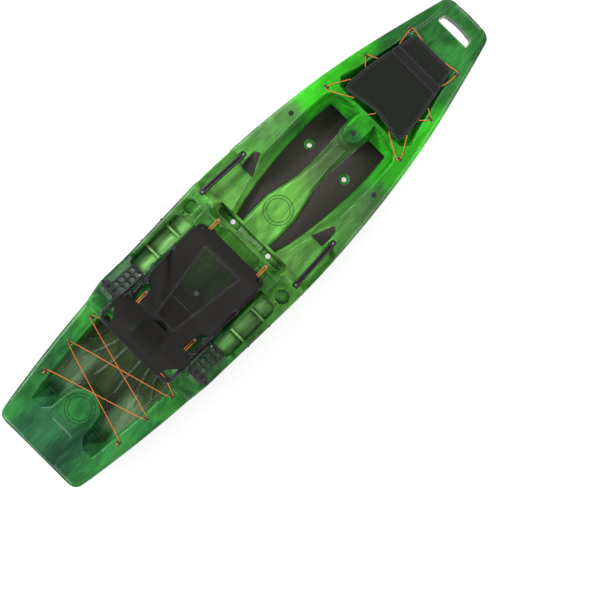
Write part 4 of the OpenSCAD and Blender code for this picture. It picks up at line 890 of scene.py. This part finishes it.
def cutCloth(name, outline, holes, place, thick, finish):
    loops = [loopPoints(loop, clothCut["step"]) for loop in [outline, *holes]]
    points, edges = [], []
    for loop in loops:
        start, n = len(points), len(loop)
        points += loop
        edges += [(start + i, start + (i + 1) % n) for i in range(n)]
    points += innerPoints(loops, clothCut["step"])
    made = geometry.delaunay_2d_cdt([Vector(p) for p in points], edges, [], 0, clothCut["mergeWithin"])
    flat = np.array([(v.x, v.y) for v in made[0]])
    centres = np.array([flat[list(f)].mean(0) for f in made[2]])
    faces = [tuple(f) for f, keep in zip(made[2], insideCut(centres, loops)) if keep]
    obj = meshObject(name, [place(*p) for p in flat], faces, finish)
    area = sum(p.area for p in obj.data.polygons)
    layer = obj.data.uv_layers.new(name="clothMap")
    for loop in obj.data.loops:
        layer.data[loop.index].uv = flat[loop.vertex_index]
    mod = obj.modifiers.new("thickness", "SOLIDIFY")
    mod.thickness = thick
    mod.offset = -1
    settle(obj)
    obj.data.shade_smooth()
    obj.data.set_sharp_from_angle(angle=clothCut["sharpAngle"])
    return obj, area, loops


def mirrored(half):
    return list(half) + [(x, -y) for x, y in reversed(half) if y]


# Foam pads in the footwells and on the ramps

padForm = {"width": 0.0022, "segments": 3, "angle": 0.9}
for side in ("port", "starboard"):
    for kind in ("foot_pad_", "side_pad_"):
        pad = bevelled(kind + side, kind + "foam_" + side, "foam", **padForm)
        finishPiece(pad, "hull", [kind + side])
print("foam pads made")


# Ribs of the strip in the cross channel and studs of the bow strip: rows of domes across the hull

domeRows = {
    "channel_ribs": {"x": [-0.0237], "half": (0.0155, 0.0027, 0.0052), "z": 0.1085, "pitch": 0.008,
                     "last": 0.088},
    "bow_strip_studs": {"x": [1.4488, 1.4665], "half": (0.0034, 0.0034, 0.0050), "z": 0.2880, "pitch": 0.0322,
                        "last": 0.0966}}
for name, row in domeRows.items():
    paths = [[Vector((x, y, row["z"])) for y in (-row["last"], row["last"])] for x in row["x"]]
    domes = grownFrom(name, paths, domeTree, "hull", Spacing=row["pitch"], Half=row["half"])
    domes.data.shade_smooth()
    finishPiece(domes, "hull")
print("ribs and studs made")


# Seat slings: mesh stretched over the bent tubes of the pan and of the back

slingSew = {
    "lineStep": 0.004, "bendSteps": 10, "smoothOver": (-0.02, -0.01, 0, 0.01, 0.02), "tubeRadius": 0.011,
    "sleeveOver": 0.0021, "sleeveSides": 20, "binding": 0.0032, "bindingSides": 8, "sleeveWeave": 0.08,
    "seamOver": 0.0004, "doubleSeam": 0.009, "crossPoints": 40}

# The cloth lies on a line through the corners (x and z), which is rounded by bend, on the side that up
# says. halves is its half width at the start, at the end, and where the end begins. Sag, outline, hole,
# window and seams are measured along the line and across it. Tube runs go from x to x.
panForm = {
    "name": "seat_pan", "body": "seat", "finish": "panCloth", "up": 1,
    "corners": [(-0.745, 0.362), (-0.215, 0.474), (-0.150, 0.398)], "bend": 0.046,
    "halves": (0.236, 0.238, 0.54), "lift": 0.0133, "thick": 0.0016,
    "sag": [(0, 0.004), (0.03, 0.012), (0.09, 0.02), (0.18, 0.024), (0.3, 0.024), (0.4, 0.0216), (0.47, 0.012),
            (0.51, 0.006), (0.56, 0.003), (0.60, 0.002), (0.65, 0.0)],
    "outline": [(0, 0), (0, 0.148), (0.022, 0.152), (0.030, 0.168), (0.045, 0.174), (0.105, 0.175),
                (0.125, 0.178), (0.145, 0.186), (0.168, 0.206), (0.182, 0.224), (0.192, 0.2365), (0.35, 0.2370),
                (0.558, 0.2376), (0.570, 0.232), (0.584, 0.214), (0.600, 0.196), (0.626, 0.186)],
    "hole": (0.004, 0.044, 0.052), "tube": (0.192, 0.545, 60), "tubeRuns": [(-1, -0.404), (-0.345, 1)],
    "bars": [((-0.745, 0.362), 0.124), ((-0.150, 0.398), 0.142)], "barPoints": 20,
    "window": (0.056, 0.526, 0.064, 0.125), "windowPoints": 60, "sideSeams": [],
    "crossSeams": [0.056, 0.196, 0.526, 0.535]}
backForm = {
    "name": "seat_back", "body": "seat_back", "finish": "backCloth", "up": -1,
    "corners": [(-0.600, 0.392642), (-0.789667, 0.690359), (-0.862023, 0.716694)], "bend": 0.034,
    "halves": (0.264, 0.250, 0.353), "lift": 0.0133, "thick": 0.0016,
    "sag": [(0.13, 0.058), (0.16, 0.054), (0.20, 0.047), (0.24, 0.040), (0.28, 0.031), (0.325, 0.018),
            (0.356, 0.009), (0.395, 0.004), (0.43, 0.0)],
    "outline": [(0.150, 0), (0.152, 0.08), (0.157, 0.13), (0.167, 0.17), (0.182, 0.205), (0.196, 0.232),
                (0.204, 0.2555), (0.25, 0.254), (0.330, 0.2512), (0.338, 0.241), (0.350, 0.224), (0.368, 0.203),
                (0.392, 0.187), (0.428, 0.180)],
    "hole": None, "tube": (0.247, 0.329, 24), "tubeRuns": [(-1, 1)],
    "bars": [((-0.862023, 0.716694), 0.179)], "barPoints": 24,
    "window": (0.160, 0.392, 0.070, 0.112), "windowPoints": 30, "sideSeams": [(0.172, 0.18, 0.40, 40)],
    "crossSeams": [0.160, 0.392]}


class Sling:
    def __init__(self, form):
        line = filleted([(x, 0, z) for x, z in form["corners"]], form["bend"], slingSew["bendSteps"])
        self.line = line = alongPath(line, slingSew["lineStep"])
        self.form = form
        steps = [0.0]
        for a, b in zip(line, line[1:]):
            steps.append(steps[-1] + (b - a).length)
        self.steps = np.array(steps)
        self.length = steps[-1]
        ways = [(b - a).normalized() for a, b in zip(line[:1] + line[:-1], line[1:] + line[-1:])]
        self.ups = [Vector((-w.z, 0, w.x)) * form["up"] for w in ways]

    def at(self, s):
        i = int(np.clip(np.searchsorted(self.steps, s) - 1, 0, len(self.line) - 2))
        t = (s - self.steps[i]) / (self.steps[i + 1] - self.steps[i])
        up = self.ups[i].lerp(self.ups[i + 1], min(1, max(0, t))).normalized()
        return self.line[i].lerp(self.line[i + 1], t), up

    def half(self, s):
        first, last, reach = self.form["halves"]
        return first + (last - first) * min(1, s / reach)

    def onTube(self, s, side):
        return self.at(s)[0] + Vector((0, side * self.half(s), 0))

    def point(self, s, y, over=0.0):
        spot, up = self.at(s)
        k = min(1, abs(y) / self.half(s))
        places, depths = zip(*self.form["sag"])
        near = [np.interp(s + d, places, depths) for d in slingSew["smoothOver"]]
        drop = float(np.mean(near)) * (1 - k * k)
        return spot + up * (self.form["lift"] - drop + over) + Vector((0, y, 0))


def windowSeams(sling, form):
    a, b, wa, wb = form["window"]
    over = slingSew["seamOver"]
    seams = []
    for side in (1, -1):
        for out in (0.0, slingSew["doubleSeam"]):
            seams.append([sling.point(s, side * (wa + out + (wb - wa) * (s - a) / (b - a)), over)
                          for s in np.linspace(a, b, form["windowPoints"])])
        for y, start, end, count in form["sideSeams"]:
            seams.append([sling.point(s, side * y, over) for s in np.linspace(start, end, count)])
    for s in form["crossSeams"]:
        w = wa + (wb - wa) * min(1, (s - a) / (b - a))
        seams.append([sling.point(s, y, over) for y in np.linspace(-w, w, slingSew["crossPoints"])])
    return seams


# A tube of sleeve cloth, with its map in metres like that of the cloth
def clothTube(name, paths, body, radius, sides, closed=False):
    obj = grownFrom(name, paths, cordTree, "sleeveCloth", closed, Radius=radius, Sides=sides)
    layer = obj.data.uv_layers["cordMap"]
    values = [(d.uv.x * slingSew["sleeveWeave"], d.uv.y) for d in layer.data]
    layer.name = "clothMap"
    for d, v in zip(layer.data, values):
        d.uv = v
    return finishPiece(obj, body)


def makeSling(form):
    sling = Sling(form)
    name, body = form["name"], form["body"]
    holes = []
    if form["hole"]:
        middle, creaseShade, wide = form["hole"]
        turns = [math.radians(a) for a in range(0, 181, 12)]
        holes.append([(middle + creaseShade * math.sin(a), wide * math.cos(a)) for a in turns])
    cloth, area, loops = cutCloth(name + "_sling", mirrored(form["outline"]), holes, sling.point, form["thick"],
                                  form["finish"])
    finishPiece(cloth, body, [name + "_fabric"])
    runs = []
    for side in (1, -1):
        tube = [sling.onTube(s, side) for s in np.linspace(*form["tube"])]
        runs += [[p for p in tube if low < p.x < high] for low, high in form["tubeRuns"]]
    for (x, z), w in form["bars"]:
        runs.append([Vector((x, y, z)) for y in np.linspace(-w, w, form["barPoints"])])
    sleeveRadius = slingSew["tubeRadius"] + slingSew["sleeveOver"]
    sleeve = clothTube(name + "_sleeves", runs, body, sleeveRadius, slingSew["sleeveSides"])
    edges = [[sling.point(*p, over=-form["thick"] / 2) for p in loop] for loop in loops]
    hem = clothTube(name + "_binding", edges, body, slingSew["binding"], slingSew["bindingSides"], True)
    stitch = sewn(name + "_stitches", windowSeams(sling, form), body, seatStitch)
    print(name, "cloth area", round(area, 4), "length", round(sling.length, 4))
    return cloth, area, [sleeve, hem, stitch], sling.length


panCloth, panArea, panTrim, panLength = makeSling(panForm)
backCloth, backArea, backTrim, _ = makeSling(backForm)


# Recline straps and their buckles, which bend as the back folds

# The section is in shares of half the width and half the thickness
strapForm = {
    "low": (-0.362, 0.251445, 0.442936), "high": (-0.723579, 0.240878, 0.586622), "inset": 0.030,
    "width": 0.025, "thick": 0.0022, "pressed": 0.85, "rows": 48, "buckleEdge": 0.0008,
    "section": [(-1, -1), (-0.4, -1.15), (0.4, -1.15), (1, -1), (1, 1), (0.4, 1.15), (-0.4, 1.15), (-1, 1)]}


def faceOutward(mesh):
    work = bmesh.new()
    work.from_mesh(mesh)
    bmesh.ops.recalc_face_normals(work, faces=work.faces)
    work.to_mesh(mesh)
    work.free()


def makeStrap(side, sign):
    low, high = [Vector((x, sign * y, z)) for x, y, z in (strapForm["low"], strapForm["high"])]
    way = (high - low).normalized()
    out = Vector((0, 0, 1)).cross(way).normalized()
    rise = way.cross(out).normalized()
    start, end = low + way * strapForm["inset"], high - way * strapForm["inset"]
    half, thick = strapForm["width"] / 2, strapForm["thick"] / 2
    count, ring = strapForm["rows"], strapForm["section"]
    n = len(ring)
    points, faces = [], []
    for i in range(count + 1):
        p = start.lerp(end, i / count)
        points += [p + rise * (a * half) + out * (b * thick * strapForm["pressed"]) for a, b in ring]
    for i in range(count):
        for j in range(n):
            k = (j + 1) % n
            faces.append((i * n + j, i * n + k, (i + 1) * n + k, (i + 1) * n + j))
    faces += [tuple(range(n - 1, -1, -1)), tuple(count * n + j for j in range(n))]
    strap = meshObject("recline_webbing_" + side, points, faces, "webbing", False)
    faceOutward(strap.data)
    layer = strap.data.uv_layers.new(name="clothMap")
    for loop in strap.data.loops:
        p = strap.data.vertices[loop.vertex_index].co - start
        layer.data[loop.index].uv = (p.dot(way), p.dot(rise))
    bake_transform(strap, "seat", "seat_back", start, end)
    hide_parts("recline_strap_" + side)
    buckle = bevelled("strap_buckle_" + side, "strap_slider_" + side, "blackPlastic", strapForm["buckleEdge"])
    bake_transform(buckle, "seat", "seat_back", start, end)
    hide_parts("strap_buckle_" + side)


makeStrap("port", 1)
makeStrap("starboard", -1)
print("straps made")


# Bow cover: mesh cloth laced over the bow well

# The band is where it starts and ends along x, its half width there, its lift and its thickness.
# The band's seams are their inset and lift, the rim's seam its inset, its share of the width and lift.
coverForm = {
    "top": 0.308, "thick": 0.0016, "dip": 0.006, "dipStart": 0.975, "dipLength": 0.46, "fold": 0.0009,
    "foldTurns": (38, 9), "widthAt": [0.96, 1.014, 1.110, 1.202, 1.346, 1.444],
    "halfWidths": [0.2, 0.213, 0.203, 0.189, 0.159, 0.14], "middle": 1.2,
    "band": (1.284, 1.340, 0.168, 0.158, 0.0013, 0.0012), "bandSeam": (0.003, 0.0017),
    "rimSeam": (0.008, 0.955, 0.0005), "hemGap": 0.0042, "hemHeight": 0.3065, "hemRadius": 0.0041,
    "hemSides": 14,
    "outline": [(0.990, 0), (0.989, 0.03), (0.984, 0.060), (0.970, 0.130), (0.963, 0.190), (0.965, 0.200),
                (0.972, 0.2065), (0.990, 0.211), (1.014, 0.213), (1.110, 0.203), (1.202, 0.189), (1.346, 0.159),
                (1.420, 0.143), (1.434, 0.138), (1.442, 0.128), (1.444, 0.114), (1.444, 0)]}


def coverPoint(x, y, over=0.0):
    half = np.interp(x, coverForm["widthAt"], coverForm["halfWidths"])
    along = min(1, max(0, (x - coverForm["dipStart"]) / coverForm["dipLength"]))
    inward = max(0.0, 1 - (y / half) ** 2) * math.sin(math.pi * along)
    xTurns, yTurns = coverForm["foldTurns"]
    folds = coverForm["fold"] * math.sin(xTurns * x + yTurns * y) * inward
    return Vector((x, y, coverForm["top"] - coverForm["dip"] * inward + folds + over))


def grownLoop(loop, gap):
    out = []
    n = len(loop)
    for i in range(n):
        a, b, c = (Vector(loop[(i + d) % n]) for d in (-1, 0, 1))
        u, v = (b - a).normalized(), (c - b).normalized()
        side = Vector((-(u + v).y, (u + v).x)).normalized()
        out.append(b + side * gap / max(0.6, math.sqrt((1 + u.dot(v)) / 2)))
    return out


def makeCover():
    outline = mirrored(coverForm["outline"])
    cloth, area, _ = cutCloth("bow_cover_mesh", outline, [], coverPoint, coverForm["thick"], "coverMesh")
    finishPiece(cloth, "hull", ["bow_cover"])
    print("cover area", round(area, 4))
    a, b, wa, wb, lift, thick = coverForm["band"]
    band, bandArea, _ = cutCloth("bow_cover_band", [(a, -wa), (a, wa), (b, wb), (b, -wb)], [],
                                 lambda x, y: coverPoint(x, y, lift), thick, "coverBand")
    finishPiece(band, "hull")
    inset, over = coverForm["bandSeam"]
    seams = [[coverPoint(x, y, over) for y in np.linspace(-w, w, 60)]
             for x, w in ((a + inset, wa), (b - inset, wb))]
    inset, share, over = coverForm["rimSeam"]
    inner = [(x + (inset if x < coverForm["middle"] else -inset), y * share) for x, y in outline]
    seams.append([coverPoint(x, y, over) for x, y in loopPoints(inner, clothCut["step"])])
    stitch = sewn("bow_cover_stitches", seams, "hull", coverStitch)
    around = [Vector((x, y, coverForm["hemHeight"])) for x, y in grownLoop(outline, coverForm["hemGap"])]
    hem = grownFrom("bow_cover_piping", [rounded(around, 2, True)], cordTree, "hemCord", closed=True,
                    Radius=coverForm["hemRadius"], Sides=coverForm["hemSides"])
    finishPiece(hem, "hull", ["cover_hem"])


makeCover()


# Orange bungees and lashings, with their routes in millimetres

bungeeForm = {"radius": 0.0025, "sides": 12}
tankRoute = [
    (-1388, 292, 274), (-1379, 292, 271), (-1374, 292, 271), (-1363, 292, 271), (-1271, -8, 279),
    (-1179, -308, 269.1), (-1168, -308, 269.1), (-1157, -308, 269.1), (-1073, 6, 277.9), (-989, 320, 268.7),
    (-978, 320, 268.7), (-967, 320, 268.7), (-962, 318, 268.9), (-955, 300, 269.5), (-944, 268, 270.5),
    (-932, 236, 270), (-926, 200, 268.7), (-924, 0, 265), (-926, -200, 268.7), (-932, -236, 270),
    (-944, -268, 270.5), (-955, -300, 269.5), (-962, -318, 268.9), (-967, -320, 268.7), (-978, -320, 268.7),
    (-989, -320, 268.7), (-1073, -6, 271.9), (-1157, 308, 269.1), (-1168, 308, 269.1), (-1179, 308, 269.1),
    (-1271, 8, 273), (-1363, -292, 271), (-1374, -292, 271), (-1379, -292, 271), (-1388, -292, 274)]
lashRoutes = [
    [(951.9, 137, 306.5), (876, 274, 299), (878, 291, 298.6), (889, 290, 298.6), (900, 291, 298.6),
     (929.5, 275.2, 301), (1014, 224.1, 306.5)],
    [(1119.5, 213, 306.5), (1152.6, 246, 303.5), (1160, 254, 302.2), (1171, 253, 302.2), (1182, 254, 302.2),
     (1183.9, 242.1, 303.5), (1204.1, 199.9, 306.5)],
    [(1348.9, 169.7, 306.5), (1418.8, 183.3, 305.8), (1442, 183, 305.5), (1453, 182, 305.5), (1464, 183, 305.5),
     (1466, 166, 305.9), (1452.1, 90, 306.5)]]
hookRoute = [(938, 14, 293), (948, 12, 296), (970, -10, 305.5), (978, -8, 306.5)]
tieRoutes = [
    [(-743.6, 6, 375.7), (-745.7, 6, 375.8), (-747.7, 6, 375.5), (-749.7, 6, 375), (-751.6, 6, 374.1),
     (-753.4, 6, 373), (-783.5, 6, 350)],
    [(-148, 6, 411.7), (-150.4, 6, 411.8), (-152.8, 6, 411.5), (-155.1, 6, 410.8), (-157.2, 6, 409.8),
     (-159.1, 6, 408.4), (-180.5, 6, 389.5)]]
# Each tie goes from its toggle over the bar, along the lead (from the post) and round the post
tieForm = {
    "posts": [(-644, 188, 366.3), (-78, 184, 402.5)], "lead": [(-24, 6, 1.6), (-9, 7.6, 0)], "turn": 8.6,
    "toggles": [(-786, 188, 345), (-183, 184, 384.5)], "toggle": (10.6, 23.6, 8.6), "toggleEdge": 0.0028,
    "toggleSegments": 4,
    "spool": [(0, -5.9), (5.6, -5.9), (5.6, -3.4), (4.4, -2.4), (4.4, 2.4), (5.6, 3.4), (5.6, 4.9), (0, 4.9)]}
knotForm = {"place": (-1.3912, 0.292, 0.2744), "start": 0.0045, "step": 0.0002, "coil": 0.0031, "points": 37,
            "perTurn": 12, "radius": 0.0021, "sides": 8}
lathe = {"sides": 32, "sharpAngle": 0.7}


def inMetres(points, side=1):
    return [Vector((x / 1000, side * y / 1000, z / 1000)) for x, y, z in points]


def onBothSides(points):
    return [(x / 1000, side * y / 1000, z / 1000) for x, y, z in points for side in (1, -1)]


def bungee(name, runs, nodes):
    cord = grownFrom(name, runs, cordTree, "bungee", Radius=bungeeForm["radius"], Sides=bungeeForm["sides"])
    return finishPiece(cord, "hull", nodes)


# Turned shapes: a profile of (radius, height) at each spot
def lathed(name, profile, spots, finish):
    sides = lathe["sides"]
    turns = [2 * math.pi * i / sides for i in range(sides)]
    points, faces = [], []
    for cx, cy, cz in spots:
        rings = []
        for radius, height in profile:
            if radius == 0:
                rings.append([len(points)] * sides)
                points.append((cx, cy, cz + height))
                continue
            rings.append(list(range(len(points), len(points) + sides)))
            points += [(cx + radius * math.cos(a), cy + radius * math.sin(a), cz + height) for a in turns]
        for low, high in zip(rings, rings[1:]):
            for i in range(sides):
                k = (i + 1) % sides
                faces.append(list(dict.fromkeys([low[i], low[k], high[k], high[i]])))
    obj = meshObject(name, points, faces, finish)
    obj.data.set_sharp_from_angle(angle=lathe["sharpAngle"])
    return obj


def makeToggles():
    a, b, c = (v / 1000 for v in tieForm["toggle"])
    corners = ((-1, -1), (1, -1), (1, 1), (-1, 1))
    box = ((3, 2, 1, 0), (4, 5, 6, 7), (0, 1, 5, 4), (1, 2, 6, 5), (2, 3, 7, 6), (3, 0, 4, 7))
    points, faces = [], []
    for x, y, z in onBothSides(tieForm["toggles"]):
        start = len(points)
        points += [(x + u * a / 2, y + v * b / 2, z + dz) for dz in (0, c) for u, v in corners]
        faces += [[start + i for i in face] for face in box]
    toggles = meshObject("seat_tie_toggles", points, faces, "orangePlastic")
    addBevel(toggles, tieForm["toggleEdge"], tieForm["toggleSegments"])
    finishPiece(settle(toggles), "hull")


# Each tie is one bungee: two strands from the toggle over the bar, and a turn round the post
def makeTies():
    runs = []
    turn = tieForm["turn"]
    for route, (px, py, pz) in zip(tieRoutes, tieForm["posts"]):
        out = [(x, py + y, z) for x, y, z in reversed(route)]
        out += [(px + x, py + y, pz + z) for x, y, z in tieForm["lead"]]
        turns = np.radians(np.arange(0, 181, 22.5))
        loop = [(px + turn * math.sin(a), py + turn * math.cos(a), pz) for a in turns]
        back = [(x, 2 * py - y, z) for x, y, z in reversed(out)]
        runs += [rounded(inMetres(out + loop + back, side), 2) for side in (1, -1)]
    bungee("seat_tie_bungees", runs, ["tie_down_cords"])
    spool = [(r / 1000, z / 1000) for r, z in tieForm["spool"]]
    spools = lathed("seat_tie_spools", spool, onBothSides(tieForm["posts"]), "orangePlastic")
    finishPiece(spools, "hull", ["tie_down_beads"])
    makeToggles()


def makeKnots():
    knots = []
    for side in (1, -1):
        x, y, z = knotForm["place"]
        turns = []
        for i in range(knotForm["points"]):
            a = 2 * math.pi * i / knotForm["perTurn"]
            along = knotForm["step"] * i - knotForm["start"]
            across, rise = knotForm["coil"] * math.cos(a), knotForm["coil"] * math.sin(a)
            turns.append(Vector((x + along, side * y + across, z + rise)))
        knots.append(turns)
    knot = grownFrom("tankwell_bungee_knots", knots, cordTree, "bungee", Radius=knotForm["radius"],
                     Sides=knotForm["sides"])
    finishPiece(knot, "hull")


bungee("tankwell_bungee_cord", [rounded(inMetres(tankRoute), 2)], ["tankwell_bungee"])
makeKnots()
lashings = [rounded(inMetres(route, side), 2) for route in lashRoutes for side in (1, -1)]
bungee("bow_cover_lashing", [*lashings, rounded(inMetres(hookRoute), 1)], ["cover_lashing"])
makeTies()
print("bungees made")


# Finishes of the CAD nodes that stay, and rounded copies of others

stayFinish = {
    "rail_screws": "steel", "accessory_inserts": "blackPlastic", "seat_pan_frame": "tube",
    "seat_back_frame": "tube", "hinge_bolts": "steel", "pad_eye_screws": "steel", "tool_holder_rods": "tube",
    "side_studs": "blackPlastic", "drain_gasket": "rubber", "tie_down_screws": "steel"}
copyForm = {"segments": 2, "angle": 0.5}
# CAD node: its body, material slot, finish and edge radius
roundedPieces = {
    "side_rail_port": ("hull", "black_plastic", "blackPlastic", 0.0022),
    "side_rail_starboard": ("hull", "black_plastic", "blackPlastic", 0.0022),
    "tool_holder_port": ("hull", "black_plastic", "blackPlastic", 0.0009),
    "tool_holder_starboard": ("hull", "black_plastic", "blackPlastic", 0.0009),
    "hinge_bracket_port": ("seat", "black_plastic", "blackPlastic", 0.0010),
    "hinge_bracket_starboard": ("seat", "black_plastic", "blackPlastic", 0.0010),
    "seat_feet": ("seat", "foot_rubber", "rubber", 0.0016),
    "lower_strap_clamps": ("seat", "black_plastic", "blackPlastic", 0.0008),
    "upper_strap_clamps": ("seat_back", "black_plastic", "blackPlastic", 0.0008),
    "pad_eyes": ("hull", "black_plastic", "blackPlastic", 0.0007),
    "drain_plug": ("drain_plug", "black_plastic", "blackPlastic", 0.0010)}
for node, (body, slotName, finish, radius) in roundedPieces.items():
    finishPiece(bevelled(node, node + "_rounded", finish, radius, **copyForm), body, [node])
print("rounded copies:", len(roundedPieces))
for node, finish in stayFinish.items():
    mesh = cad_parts[node].data
    mesh.materials.clear()
    mesh.materials.append(finishes[finish])
print("CAD nodes painted:", len(stayFinish))
